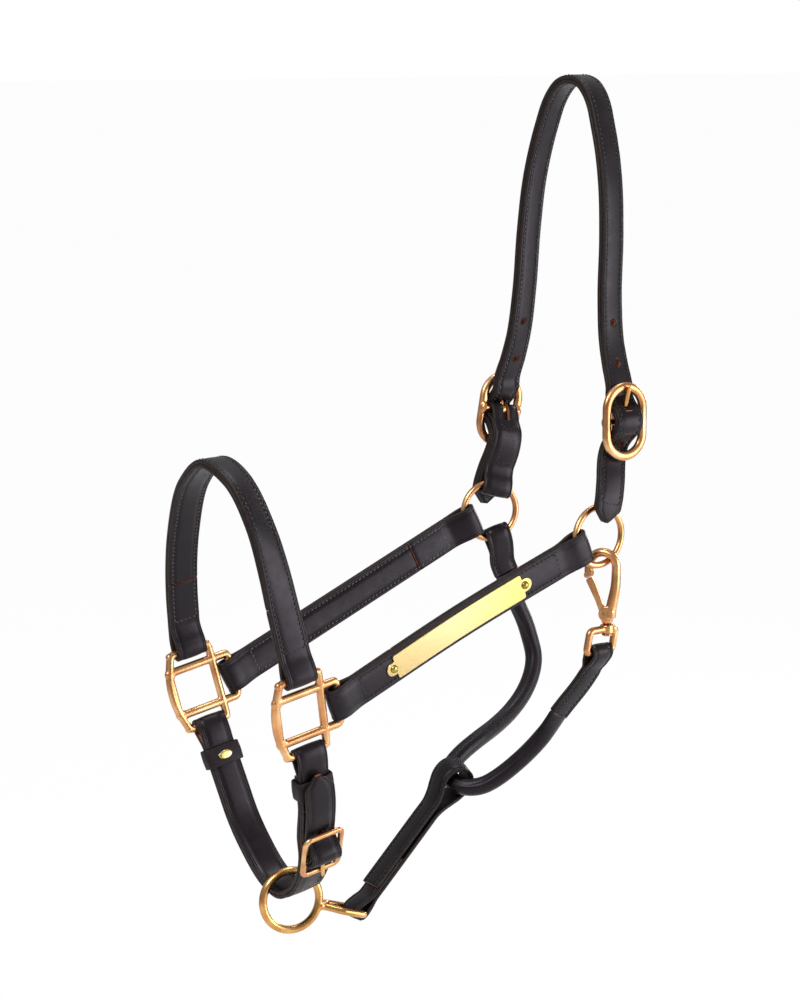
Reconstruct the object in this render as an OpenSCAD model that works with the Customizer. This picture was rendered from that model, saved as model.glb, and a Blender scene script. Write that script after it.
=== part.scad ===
// Leather headcollar with brass fittings, worn shape, near (left) side at -Y.
// The origin is on the underside of the crown strap, where it sits behind the ears.
// +X runs from the nose to the poll, +Y to the far side, +Z up. Millimetres.

/* [Leather] */
// Width of the noseband, cheek and chin straps
strap_w = 22; // [20:0.5:24]
// Width of the crown strap
crown_w = 20; // [17:0.5:22]
// Width of the jaw strap and of the throat tabs
jaw_w = 18; // [15:0.5:20]
// Thickness of one ply of leather
ply = 2.8; // [2.2:0.1:3.2]
// Thickness of the thinned ply that folds round a buckle bar
thin_ply = 2; // [1.6:0.1:2.2]
// Space left between stitched plies
seam = 0.1; // [0.05:0.05:0.2]
// Length of each turned strap end, from the fitting to its cut edge
turn_l = 34; // [26:1:42]
// Diameter of the rolled throat
roll_d = 12; // [10:0.5:14]
// Diameter of the cord inside the rolled throat
core_d = 5; // [3:0.5:6]
// Diameter of the punched strap holes
hole_d = 4.6; // [4:0.2:5.4]
// Spacing of the punched strap holes
hole_pitch = 26.7; // [24:0.1:29]
// Wall of the strap keepers
keeper_t = 1.8; // [1.5:0.1:2.2]
// Height of the strap keepers along the strap
keeper_h = 13; // [10:0.5:15]

/* [Brass] */
// Mean radius of the two cheek rings
ring_r = 19.8; // [18:0.1:22]
// Wire of the two cheek rings
ring_wire = 4.4; // [4:0.1:5]
// Bar thickness of the noseband squares
square_bar = 4.6; // [4:0.1:5.2]
// Mean radius of the chin ring
chin_ring_r = 20; // [19.8:0.1:24]
// Wire of the chin ring
chin_ring_wire = 5.6; // [4.8:0.1:6.2]
// Bar of the oval crown buckles
crown_bar = 5.4; // [4.6:0.1:5.8]
// Bar of the chin buckle
chin_bar = 3.4; // [3:0.1:3.8]
// Wire of the snap hook at its top
hook_wire = 5.4; // [4.8:0.1:6]
// Length of the name plate
plate_l = 124; // [90:1:126]
// Width of the name plate
plate_w = 17; // [14:0.5:18]

/* [Worn shape] */
// Half the distance between the two cheek rings
ring_y = 64; // [60:0.5:70]
// Half the distance between the two noseband squares
square_y = 69; // [65:0.5:72]
// Half the distance between the two crown buckles
buckle_y = 73; // [71:0.5:76]
// Lean of the noseband back from upright
nose_tilt = 12; // [6:0.5:16]
// Outward lean of the squares at their tops
square_lean = 8; // [4:0.5:12]

/* [Fit] */
// Running clearance between a fitting and the leather or metal round it
clear = 0.3; // [0.2:0.05:0.4]

/* [Hidden] */
$fn = 48;
leather = [0.14, 0.12, 0.125];
lining = [0.19, 0.15, 0.14];
brass = [0.80, 0.58, 0.33];
yellow_brass = [0.90, 0.82, 0.45];
near = -1;
far = 1;
step = 8;
half = (ply + seam) / 2;

// ---- Vectors and smooth runs of strap ----
// A station is [point, across]: a point on the strap and the direction of its width.
function unit(a) = a / norm(a);
function mix(a, b, t) = a * (1 - t) + b * t;
function reversed(s) = [for (i = [len(s) - 1 : -1 : 0]) s[i]];
function span(s, i) = norm(s[i + 1][0] - s[i][0]);
function slope(s, i) =
    let (n = len(s) - 1, a = i > 0 ? span(s, i - 1) : 0, b = i < n ? span(s, i) : 0)
    i == 0 ? (s[1][0] - s[0][0]) / b :
    i == n ? (s[n][0] - s[n - 1][0]) / a :
    ((s[i][0] - s[i - 1][0]) / a * b + (s[i + 1][0] - s[i][0]) / b * a) / (a + b);
function hermite(p, q, mp, mq, h, t) =
    (2 * t ^ 3 - 3 * t ^ 2 + 1) * p + (t ^ 3 - 2 * t ^ 2 + t) * h * mp
    + (3 * t ^ 2 - 2 * t ^ 3) * q + (t ^ 3 - t ^ 2) * h * mq;
function smooth(s, every = step) = [
    for (i = [0 : len(s) - 2])
        let (h = span(s, i), n = max(1, ceil(h / every)))
        for (k = [0 : n - 1])
            [hermite(s[i][0], s[i + 1][0], slope(s, i), slope(s, i + 1), h, k / n),
             mix(s[i][1], s[i + 1][1], k / n)],
    s[len(s) - 1]];
function tangent(s, i) = unit(s[min(i + 1, len(s) - 1)][0] - s[max(i - 1, 0)][0]);
function square_on(t, b) = unit(b - t * (b * t));
function inward(s, i) = let (t = tangent(s, i)) cross(t, square_on(t, s[i][1]));
function shift(s, d) = [for (i = [0 : len(s) - 1]) [s[i][0] + d * inward(s, i), s[i][1]]];
function lengths(s) = [for (i = 0, l = 0; i < len(s);
    l = l + (i < len(s) - 1 ? span(s, i) : 0), i = i + 1) l];
function total(s) = lengths(s)[len(s) - 1];
function at(s, l, x) =
    let (i = max([for (k = [0 : len(s) - 2]) if (l[k] <= x) k]), t = (x - l[i]) / (l[i + 1] - l[i]))
    [mix(s[i][0], s[i + 1][0], t), mix(s[i][1], s[i + 1][1], t)];
function cut(s, a, b) = let (l = lengths(s)) concat([at(s, l, a)],
    [for (i = [0 : len(s) - 1]) if (l[i] > a + 0.5 && l[i] < b - 0.5) s[i]], [at(s, l, b)]);

// Half turn of a strap round a bar: d points from the bar to the strap's run and m to the
// side where the turn starts; r is the radius of the strap's middle and slack its extra reach.
function fold(c, d, m, r, slack = 0, n = 6) = [for (k = [0 : n])
    let (g = 180 * k / n) [c - d * slack + r * (m * cos(g) - d * sin(g)), cross(m, d)]];

// Outer ply: turned in round a fitting at both ends of the run s.
function turned(s, fold1, fold2, leg) = let (n = total(s)) smooth(concat(
    reversed(shift(cut(s, 0, leg), half)), fold1, shift(s, -half), fold2,
    reversed(shift(cut(s, n - leg, n), half))));
// Lining: fills the run between the turned ends.
function between(s, leg) = let (n = total(s)) shift(cut(s, leg + clear, n - leg - clear), half);
// One ply looped round two fittings, its ends meeting halfway along the outside.
function looped(s, fold1, fold2, h = half) = let (n = total(s)) smooth(concat(
    cut(shift(s, -h), n / 2 + clear, n), fold2, reversed(shift(s, h)), fold1,
    cut(shift(s, -h), 0, n / 2 - clear)));

// Solid strap of width w along the stations, from lo to hi through its thickness.
module ribbon(s, w, lo = -ply / 2, hi = ply / 2) {
    n = len(s);
    points = [for (i = [0 : n - 1])
        let (t = tangent(s, i), b = square_on(t, s[i][1]) * w / 2, m = cross(t, b) / norm(b))
        each [s[i][0] - b + m * lo, s[i][0] + b + m * lo, s[i][0] + b + m * hi, s[i][0] - b + m * hi]];
    sides = [for (i = [0 : n - 2]) for (k = [0 : 3])
        let (a = 4 * i + k, b = 4 * i + (k + 1) % 4)
        each k < 2 ? [[a, a + 4, b], [b, a + 4, b + 4]] : [[a, a + 4, b + 4], [a, b + 4, b]]];
    polyhedron(points, concat([[0, 1, 2], [0, 2, 3]],
        [[4 * n - 2, 4 * n - 3, 4 * n - 4], [4 * n - 1, 4 * n - 2, 4 * n - 4]], sides));
}

// Round or oval rod along stations [point, across, half width, half thickness]; hole is the
// radius of a round bore along it.
rod_sides = 16;
module rod(s, hole = 0) {
    n = len(s);
    k = rod_sides;
    w = hole > 0 ? 2 * k : k;
    points = [for (i = [0 : n - 1])
        let (t = tangent(s, i), b = square_on(t, s[i][1]), m = cross(t, b))
        each concat(
            [for (j = [0 : k - 1]) s[i][0] + b * s[i][2] * cos(360 * j / k) + m * s[i][3] * sin(360 * j / k)],
            hole > 0 ? [for (j = [0 : k - 1]) s[i][0] + (b * cos(360 * j / k) + m * sin(360 * j / k)) * hole]
            : [])];
    outside = [for (i = [0 : n - 2]) for (j = [0 : k - 1])
        let (a = w * i + j, b = w * i + (j + 1) % k) each [[a, a + w, b], [b, a + w, b + w]]];
    inside = hole > 0 ? [for (i = [0 : n - 2]) for (j = [0 : k - 1])
        let (a = w * i + k + j, b = w * i + k + (j + 1) % k) each [[a, b, a + w], [b, b + w, a + w]]] : [];
    e = w * (n - 1);
    ends = hole > 0
        ? [for (j = [0 : k - 1]) let (q = (j + 1) % k)
            each [[j, q, k + j], [q, k + q, k + j], [e + j, e + k + j, e + q], [e + q, e + k + j, e + k + q]]]
        : [for (j = [1 : k - 2]) each [[0, j, j + 1], [e, e + j + 1, e + j]]];
    polyhedron(points, concat(outside, inside, ends));
}
module bar(p, q, d) {
    v = q - p;
    translate(p) rotate([0, acos(v[2] / norm(v)), atan2(v[1], v[0])]) cylinder(d = d, h = norm(v));
}
module torus(r, d, angle = 360) {
    rotate_extrude(angle = angle) translate([r, 0]) circle(d = d);
}
// Points of a closed outline in the XY plane, always turning left; each corner is [x, y, radius].
wire_sides = 12;
bend_steps = 4;
function leg(path, i, j) = let (v = path[j] - path[i]) unit([v[0], v[1], 0]);
function rounded(path) = let (n = len(path)) [for (i = [0 : n - 1])
    let (u = leg(path, (i + n - 1) % n, i), w = leg(path, i, (i + 1) % n), a = acos(u * w), r = path[i][2],
         l = [-u[1], u[0], 0], c = [path[i][0], path[i][1], 0] - u * r * tan(a / 2) + l * r)
    for (k = [0 : bend_steps]) c + r * (u * sin(a * k / bend_steps) - l * cos(a * k / bend_steps))];
// Round wire bent to that outline.
module wire(path, d) {
    s = rounded(path);
    n = len(s);
    k = wire_sides;
    points = [for (i = [0 : n - 1])
        let (t = unit(unit(s[(i + 1) % n] - s[i]) + unit(s[i] - s[(i + n - 1) % n])), m = cross(t, [0, 0, 1]))
        for (j = [0 : k - 1]) s[i] + d / 2 * ([0, 0, 1] * cos(360 * j / k) + m * sin(360 * j / k))];
    polyhedron(points, [for (i = [0 : n - 1]) for (j = [0 : k - 1])
        let (q = (j + 1) % k, a = k * i + j, b = k * i + q, e = k * ((i + 1) % n))
        each [[a, e + j, b], [b, e + j, e + q]]]);
}

// ---- Places of the fittings ----
function onto(n, a) = unit(a - n * (a * n));
nose_u = [cos(nose_tilt), 0, sin(nose_tilt)];
nose_v = [-sin(nose_tilt), 0, cos(nose_tilt)];
square_mid = [-262.5, 0, -396.3];
slot_out = 26;
open_v = 15;
open_u = 17;
cheek_bar_u = 29.3;
// The near square sits higher than the far one by twice this.
square_rise = 3.8;
strap_u = 3;
nose_c = square_mid + strap_u * nose_u;
// Point of the noseband's plane: s across the head, v up the plane, u along a strap's width.
function nose_p(s, v, u = 0) = nose_c + s * [0, 1, 0] + v * nose_v + u * nose_u;
function square_v(side) = cos(square_lean) * nose_v + side * sin(square_lean) * [0, 1, 0];
function square_in(side) = -side * cross(square_v(side), nose_u);
function square_c(side) = square_mid + [0, side * square_y, 0] - side * square_rise * nose_v;
function noseband_bar(side) = square_c(side) + strap_u * nose_u + slot_out * square_v(side);
function chin_bar_c(side) = square_c(side) + strap_u * nose_u - slot_out * square_v(side);
function cheek_bar_c(side) = square_c(side) + cheek_bar_u * nose_u;
square_fold = square_bar / 2 + clear + ply / 2;

function ring_turn(side) = side == near ? 3 : -12;
function ring_c(side) = [-25.7, side * ring_y, -299.8];
function ring_n(side) = [sin(ring_turn(side)), -cos(ring_turn(side)), 0];
function ring_in(side) = side * ring_n(side);
// How far a flat strap of width w must turn inside the ring to clear its curve.
ring_ease = 0.7;
function ring_sag(w) = ring_r - sqrt(ring_r ^ 2 - (w / 2) ^ 2) + ring_ease;
ring_fold = ring_wire / 2 + clear + ply / 2 + ring_ease / 2;

buckle_z = -224.5;
// Each crown buckle's height above that, and the lean of its top towards the poll.
function buckle_rise(side) = side == near ? 2.2 : -5;
function buckle_lean(side) = side == near ? 0 : 10;
centre_bar = 4;
bar_set = 3;
buckle_hw = crown_w / 2 + 2 + crown_bar / 2;
buckle_hh = 23.3;
function buckle_c(side) = [-11.7, side * buckle_y, buckle_z + buckle_rise(side)];
function buckle_bar(side) = buckle_c(side) - [0, side * bar_set, 0];
function buckle_across(side) = [-side * cos(buckle_lean(side)), 0, side * sin(buckle_lean(side))];
tongue_d = 3;
tongue_swing = 6;
thin_half = (thin_ply + seam) / 2;

// ---- Noseband ----
reach = 14;
// Stations of the noseband's middle: across the head, up the plane, turn and tilt of its width.
noseband_route = [[-71.5, 43, 0, 12], [-68.5, 75, 4, 12], [-66.5, 100, 12, 11], [-60.5, 128, 22, 8],
    [-45, 154, 24, 4], [-17, 165, 14, 0], [14.5, 149.5, 5, 3], [45.8, 110, 0, 8],
    [66.5, 64, 0, 12], [73, 40, 0, 12]];
function noseband_mid() = smooth([for (p = noseband_route)
    [nose_p(p[0], p[1]), [cos(p[2]) * cos(p[3]), sin(p[2]) * cos(p[3]), sin(p[3])]]]);
function noseband_fold(side) =
    let (first = noseband_mid()[0][0], last = noseband_mid()[len(noseband_mid()) - 1][0],
         c = noseband_bar(side), d = unit((side == near ? first : last) - c))
    fold(c, d, cross(d, nose_u), square_fold);
module noseband_outer() {
    color(leather)
    ribbon(turned(noseband_mid(), noseband_fold(near), noseband_fold(far), turn_l), strap_w);
}
module noseband_lining() {
    color(lining)
    ribbon(between(noseband_mid(), turn_l), strap_w);
}

// ---- Cheeks ----
function cheek_bow(side) = side == near ? 2 : 0;
function cheek_dir(side) =
    onto(square_in(side), ring_c(side) - cheek_bar_c(side));
function cheek_ring_dir(side) = onto(ring_n(side), cheek_bar_c(side) - ring_c(side));
function cheek_ring_c(side) = ring_c(side) + ring_r * cheek_ring_dir(side);
function cheek_mid(side) =
    let (a = cross(square_in(side), cheek_dir(side)),
         b = cross(-ring_in(side), cheek_ring_dir(side)),
         p = cheek_bar_c(side) + reach * cheek_dir(side),
         q = cheek_ring_c(side) + reach * cheek_ring_dir(side))
    smooth([[p, a], [mix(p, q, 0.5) + cheek_bow(side) * unit([-0.4, 0, 0.92]), mix(a, b, 0.5)], [q, b]]);
function cheek_fold(side) = let (d = cheek_dir(side))
    fold(cheek_bar_c(side), d, square_in(side), square_fold, strap_w / 2 * abs(d * square_v(side)));
function cheek_ring_fold(side) =
    fold(cheek_ring_c(side), cheek_ring_dir(side), -ring_in(side), ring_fold, ring_sag(strap_w));
module cheek_outer(side) {
    color(leather)
    ribbon(turned(cheek_mid(side), cheek_fold(side), cheek_ring_fold(side), turn_l), strap_w);
}
module cheek_lining(side) {
    color(lining)
    ribbon(between(cheek_mid(side), turn_l), strap_w);
}

// ---- Crown ----
// Half of the crown's middle from its tip to the poll: x, distance from the middle plane, z, turn.
crown_route = [[-24.1, 73.8, -291, 0], [-21.1, 74.6, -276, 0], [-18.7, 70.8, -262, 0],
    [-16.2, 66, -249, 0], [-14.2, 66.2, -240.5, 0], [-12.7, 72.1, -233.5, 0], [-12, 76.9, -228.5, 0],
    [-11.7, 77.8, -224.5, 0], [-11.6, 76.7, -220.5, 0], [-11.3, 71.8, -215.5, 0],
    [-11, 66, -208.5, 2], [-10.8, 65.4, -202, 4], [-10, 60, -189, 8], [-9, 54, -172, 12],
    [-7.5, 49.5, -143, 14], [-5.2, 47.5, -100, 14], [-3.5, 43.5, -66, 14], [-2.4, 38.5, -46, 14],
    [-1.5, 32, -28, 14], [-0.5, 24, -11, 14], [0, 13, -0.3, 14]];
// Above free_z the straps of both sides hang alike; below hung_z they follow their own buckle.
free_z = -130;
hung_z = -195;
function follow(z) = min(1, max(0, (free_z - z) / (free_z - hung_z)));
// The near strap's tip swings this far forward at its end.
tip_swing = 4.2;
tip_z = -245;
function tip_drift(side, z) = side == far || z > tip_z ? 0 : tip_swing * min(1, (tip_z - z) / 30);
function crown_side(side) = [for (p = crown_route)
    [[p[0] - tip_drift(side, p[2]), side * p[1], p[2] + buckle_rise(side) * follow(p[2])],
     [cos(p[3]), sin(p[3]), 0]]];
function crown_mid() = smooth(concat(crown_side(near),
    [[[0, 0, ply + seam / 2], [cos(14), sin(14), 0]]], reversed(crown_side(far))));
crown_holes = [-160, -160 - hole_pitch, -160 - 3 * hole_pitch];
module along_y(r, h) {
    rotate([90, 0, 0]) cylinder(r = r, h = h, center = true);
}
// The free holes follow the strap's slant: this much x for each millimetre of z.
hole_slant = 0.053;
module crown_cuts(side) {
    tip = crown_route[0];
    rise = buckle_rise(side);
    for (z = crown_holes)
        translate([z * hole_slant, side * 60, z + rise]) along_y(hole_d / 2, 60);
    translate([tip[0] - tip_drift(side, tip[2]), side * tip[1], tip[2] + rise]) rotate([90, 0, 0]) rotate(-11)
        for (m = [0, 1]) mirror([m, 0, 0])
        linear_extrude(20, center = true) polygon([[0, -1], [11, -1], [11, 10]]);
    crown_tongue_place(side, tongue_swing / 2) slot(tongue_d, tongue_l);
}
module crown(lo, hi) {
    difference() {
        ribbon(crown_mid(), crown_w, lo, hi);
        crown_cuts(near);
        crown_cuts(far);
    }
}
module crown_outer() {
    color(leather) crown(-ply - seam / 2, -seam / 2);
}
module crown_lining() {
    color(lining) crown(seam / 2, ply + seam / 2);
}

// ---- Crown chapes: the short straps that hold the crown buckles ----
// The far chape sits this much further round its ring.
function chape_set(side) = side == near ? 0 : 6;
function chape_dir(side) = onto(ring_n(side), buckle_c(side) - ring_c(side) + [chape_set(side), 0, 0]);
function chape_ring_c(side) = ring_c(side) + ring_r * chape_dir(side);
// Distance from the middle plane and height above the top of the ring, for a buckle bar at
// height chape_l above it.
chape_l = 55.5;
chape_route = [[63.2, 13], [60.4, 22], [58.9, 32], [59.5, 39], [63.9, 46.8]];
function chape_mid(side) = smooth([for (p = chape_route)
    let (d = chape_dir(side), e = buckle_bar(side) - ring_c(side),
         q = ring_r + p[1] * (1 + buckle_rise(side) / chape_l))
    [[ring_c(side)[0] + mix(d[0] / d[2], e[0] / e[2], p[1] / chape_l) * q, side * p[0], ring_c(side)[2] + q],
     mix(cross(ring_in(side), d), buckle_across(side), p[1] / 50)]], 5);
function chape_fold(side) =
    let (b = buckle_across(side), d = onto(b, [0, -side * 0.5, -0.87]))
    fold(buckle_bar(side), d, cross(d, b), centre_bar / 2 + clear + thin_ply / 2);
function chape_ring_fold(side) = fold(chape_ring_c(side), chape_dir(side), ring_in(side),
    ring_wire / 2 + clear + thin_ply / 2 + ring_ease, ring_sag(strap_w));
module chape(side) {
    color(leather)
    difference() {
        ribbon(looped(chape_mid(side), chape_ring_fold(side), chape_fold(side), thin_half),
            strap_w, -thin_ply / 2, thin_ply / 2);
        translate(buckle_bar(side)) rotate([0, buckle_lean(side), 0])
            cube([eye_w(tongue_d) + 2 * clear, 16, 16], center = true);
    }
}

// ---- Crown buckles ----
function eye_w(d) = d + 1.4;
tongue_l = 26.5;
function tongue_rest() = atan(bar_set / buckle_hh)
    + asin((crown_bar / 2 + tongue_d / 2 + clear) / norm([bar_set, buckle_hh]));
module crown_tongue_place(side, swing = 0) {
    translate(buckle_bar(side)) rotate([0, buckle_lean(side), 0])
        rotate([-side * (tongue_rest() + swing), 0, 0]) children();
}
// Hole in a strap that lets a tongue of diameter d swing.
module slot(d, l) {
    swept = 1.3;
    translate([0, 0, l / 2]) cube([d + 2 * clear, d + 2 * clear + swept, l], center = true);
}
// Eye of a tongue, bored to turn on a bar along X.
module tongue_eye(bar_d, shaft_d) {
    wall = 1.5;
    rotate([0, 90, 0]) difference() {
        cylinder(d = bar_d + 2 * clear + 2 * wall, h = eye_w(shaft_d), center = true);
        cylinder(d = bar_d + 2 * clear, h = 2 * shaft_d + 2, center = true);
    }
}
module crown_tongue(side) {
    color(brass) {
        translate(buckle_bar(side)) rotate([0, buckle_lean(side), 0]) tongue_eye(centre_bar, tongue_d);
        difference() {
            crown_tongue_place(side) cylinder(d = tongue_d, h = tongue_l);
            translate(buckle_bar(side)) rotate([0, 90 + buckle_lean(side), 0])
                cylinder(d = centre_bar + 2 * clear + 1, h = 2 * tongue_d, center = true);
        }
    }
}
module crown_buckle(side) {
    straight = buckle_hh - buckle_hw;
    color(brass) translate(buckle_c(side)) rotate([0, buckle_lean(side), 0]) {
        rotate([90, 0, 0]) for (m = [0, 1]) mirror([0, m, 0]) {
            translate([0, straight, 0]) torus(buckle_hw, crown_bar, 180);
            for (x = [-buckle_hw, buckle_hw])
                bar([x, 0, 0], [x, straight, 0], crown_bar);
        }
        translate([0, -side * bar_set, 0]) bar([-buckle_hw, 0, 0], [buckle_hw, 0, 0], centre_bar);
    }
}

// ---- Squares and rings ----
// The bent wire frame that joins noseband, chin strap and cheek; width along X, height along Y.
module square(side) {
    bow_u = -18;
    bow_v = 9;
    lean = 90 - side * square_lean;
    color(brass)
    translate(square_c(side)) rotate([0, -nose_tilt, 0]) rotate([lean, 0, 0]) {
        wire([[open_u, -slot_out, 3], [open_u, slot_out, 3], [-12, slot_out, 4], [bow_u, bow_v, 45],
            [bow_u, -bow_v, 45], [-12, -slot_out, 4]], square_bar);
        wire([[-16.6, open_v, 0.5], [-16.6, -open_v, 0.5], [cheek_bar_u, -open_v, 2.6],
            [cheek_bar_u, open_v, 2.6]], square_bar - 0.2);
    }
}
module cheek_ring(side) {
    color(brass)
    translate(ring_c(side)) rotate([90, 0, ring_turn(side)]) torus(ring_r, ring_wire);
}

// ---- Chin strap, its buckle and keepers ----
function in_nose(route) = [for (p = route) [nose_p(p[0], p[1]), -nose_u]];
function chin_turn(c, p, r) = let (d = unit(p - c)) fold(c, d, cross(d, -nose_u), r);
module nose_place(s, v, lean) {
    translate(nose_p(s, v)) rotate([0, -nose_tilt, 0]) rotate([lean, 0, 0]) children();
}
// Stations across the head and up the plane of the noseband.
chin_inner_near = [[-61.6, -36], [-59.9, -47], [-57.7, -60], [-52.1, -73], [-48.1, -83],
    [-45.8, -95], [-36.5, -112]];
chin_inner_far = [[-19, -127], [0, -133], [16.5, -127], [31.5, -111], [43, -91], [47.9, -75],
    [51.6, -62], [54.6, -52], [57.6, -42]];
chin_outer_near = [[-71.9, -37], [-70.25, -47], [-68.9, -55], [-66.1, -64], [-61.8, -74],
    [-58.5, -83], [-60.7, -88.5], [-63.1, -94.5], [-61.4, -98.6], [-56.1, -100.4],
    [-49.7, -101], [-45.1, -106.8], [-38.6, -114.4]];
layer_gap = 0.15;
layer = ply + layer_gap;
chin_pivot = [-57, -94];
chin_lean = 28;
chin_hh = 15.2;
chin_hw = strap_w / 2 + 0.9 + chin_bar / 2;
chin_tongue_d = 2.6;
function chin_strap_path() =
    let (inner = smooth(concat(in_nose(chin_inner_near), in_nose(chin_inner_far))),
         far_run = smooth(in_nose(chin_inner_far)),
         outer = smooth(concat(in_nose(chin_outer_near), shift(far_run, -layer)), 4),
         last = nose_p(57.6, -42) + [0, layer / 2, 0])
    smooth(concat(outer, chin_turn(chin_bar_c(far), last, square_fold), reversed(inner)));
chin_tongue_l = chin_hh + 3.3;
module chin_tongue_place(swing = 0) {
    rest = asin((chin_bar / 2 + chin_tongue_d / 2 + clear) / chin_hh);
    nose_place(chin_pivot[0], chin_pivot[1], chin_lean) rotate([180 - rest - swing, 0, 0]) children();
}
// Spare hole of the chin strap above its buckle: [across, up], and the lean of its axis.
chin_hole_at = [-60.1, -79.4];
chin_hole_lean = 110;
module chin_strap() {
    tip = chin_outer_near[0];
    color(leather)
    difference() {
        ribbon(chin_strap_path(), strap_w);
        chin_tongue_place(tongue_swing / 2) slot(chin_tongue_d, chin_tongue_l);
        nose_place(chin_hole_at[0], chin_hole_at[1], chin_hole_lean)
            cylinder(d = hole_d, h = 5, center = true);
        nose_place(tip[0], tip[1], 9.5) rotate([90, 0, 0]) for (m = [0, 1]) mirror([m, 0, 0])
            linear_extrude(6, center = true) polygon([[2, 1], [12, 1], [12, -9]]);
    }
}
chin_chape_route = [[-65.4, -37.5], [-63.8, -47], [-61.6, -60], [-57.1, -72], [-53.9, -81.5]];
module chin_chape() {
    mid = smooth(in_nose(chin_chape_route), 5);
    pivot = nose_p(chin_pivot[0], chin_pivot[1]);
    color(leather)
    difference() {
        ribbon(looped(mid, chin_turn(chin_bar_c(near), mid[0][0], square_bar / 2 + clear + thin_ply / 2),
            chin_turn(pivot, mid[len(mid) - 1][0], chin_bar / 2 + clear + thin_ply / 2), thin_half),
            strap_w, -thin_ply / 2, thin_ply / 2);
        nose_place(chin_pivot[0], chin_pivot[1], 0)
            cube([eye_w(chin_tongue_d) + 2 * clear, 13, 13], center = true);
    }
}
module chin_buckle() {
    color(brass)
    nose_place(chin_pivot[0], chin_pivot[1], chin_lean) {
        rotate([90, 0, 0]) wire([[-chin_hw, -chin_hh, 2.4], [chin_hw, -chin_hh, 2.4],
            [chin_hw, chin_hh, 2.4], [-chin_hw, chin_hh, 2.4]], chin_bar);
        bar([-chin_hw, 0, 0], [chin_hw, 0, 0], chin_bar - 0.2);
    }
}
module chin_tongue() {
    color(brass) {
        nose_place(chin_pivot[0], chin_pivot[1], chin_lean) tongue_eye(chin_bar, chin_tongue_d);
        difference() {
            chin_tongue_place() cylinder(d = chin_tongue_d, h = chin_tongue_l);
            nose_place(chin_pivot[0], chin_pivot[1], chin_lean) rotate([0, 90, 0])
                cylinder(d = chin_bar + 2 * clear + 1, h = 2 * chin_tongue_d, center = true);
        }
    }
}
// Loop round a stack of straps; the strap runs along Z and its width along X.
slide_gap = 0.35;
module keeper(stack) {
    side_gap = 0.5;
    w = strap_w + 2 * side_gap;
    t = stack + 2 * slide_gap;
    color(leather)
    difference() {
        cube([w + 2 * keeper_t, t + 2 * keeper_t, keeper_h], center = true);
        cube([w, t, keeper_h + 2], center = true);
    }
}
near_stack = 2 * thin_ply + seam + 0.25 + ply;
far_stack = 2 * ply + layer_gap;
near_lean = 9.65;
far_lean = -16.7;
near_keeper_at = [-62.45, -46];
far_keeper_at = [55.1 + layer / 2, -50.8];
module near_keeper() {
    nose_place(near_keeper_at[0], near_keeper_at[1], near_lean) keeper(near_stack);
}
module far_keeper() {
    nose_place(far_keeper_at[0], far_keeper_at[1], far_lean) keeper(far_stack);
}
// Small bare oval plate on the inner face of the far keeper.
module keeper_plate() {
    oval_t = 0.6;
    oval_l = 10;
    oval_w = 5.6;
    out = far_stack / 2 + slide_gap + keeper_t + seam;
    color(yellow_brass)
    nose_place(far_keeper_at[0], far_keeper_at[1], far_lean) translate([0, -out, 0]) rotate([90, 0, 0])
        linear_extrude(oval_t) polygon([for (a = [0 : 12 : 348]) [oval_l / 2 * cos(a), oval_w / 2 * sin(a)]]);
}

// ---- Chin ring and jaw strap ----
chin_ring_v = -143;
chin_ring_turn = -10;
chin_ring_c = [nose_c[0] + 0.5, 0, nose_c[2]] + chin_ring_v * nose_v;
loop_down = 17;
loop_e = [cos(loop_down), 0, -sin(loop_down)];
loop_wire = 4.6;
loop_out = 52.6;
loop_hw = jaw_w / 2 + 1.3 + loop_wire / 2;
jaw_bar = chin_ring_c + loop_out * loop_e;
module chin_ring() {
    join = chin_ring_r + 2.5;
    color(yellow_brass)
    translate(chin_ring_c) rotate([0, loop_down, 0]) {
        rotate([90, 0, chin_ring_turn]) torus(chin_ring_r, chin_ring_wire);
        wire([[join * cos(chin_ring_turn), join * sin(chin_ring_turn), 2.5], [35, -loop_hw, 6], [loop_out, -loop_hw, 2.6],
            [loop_out, loop_hw, 2.6], [35, loop_hw, 6]], loop_wire);
    }
}
jaw_ply = 2.4;
throat_low = [-100.8, 0, -470.6];
jaw_dir = unit(throat_low - jaw_bar);
jaw_up = [-jaw_dir[2], 0, jaw_dir[0]];
jaw_l = norm(throat_low - jaw_bar);
function jaw_p(w, out) = [jaw_bar + w * jaw_dir + out * jaw_up, [0, 1, 0]];
module jaw_strap() {
    pitch = jaw_ply + seam;
    loop_r = roll_d / 2 + 3.2 + jaw_ply / 2;
    c = unit([0.11, 0.945, 0.3]);
    d = onto(c, -jaw_dir);
    neck = jaw_l - 22;
    color(leather)
    ribbon(smooth(concat(
        [for (w = [46, 38, 30, 22, 14]) jaw_p(w, 0)],
        fold(jaw_bar, jaw_dir, jaw_up, loop_wire / 2 + clear + jaw_ply / 2),
        [for (w = [14 : 10 : neck]) jaw_p(w, -pitch)],
        fold(throat_low, d, cross(d, c), loop_r, 1.5, 10),
        [for (w = [neck : -10 : 18]) jaw_p(w, pitch)])), jaw_w, -jaw_ply / 2, jaw_ply / 2);
}

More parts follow.
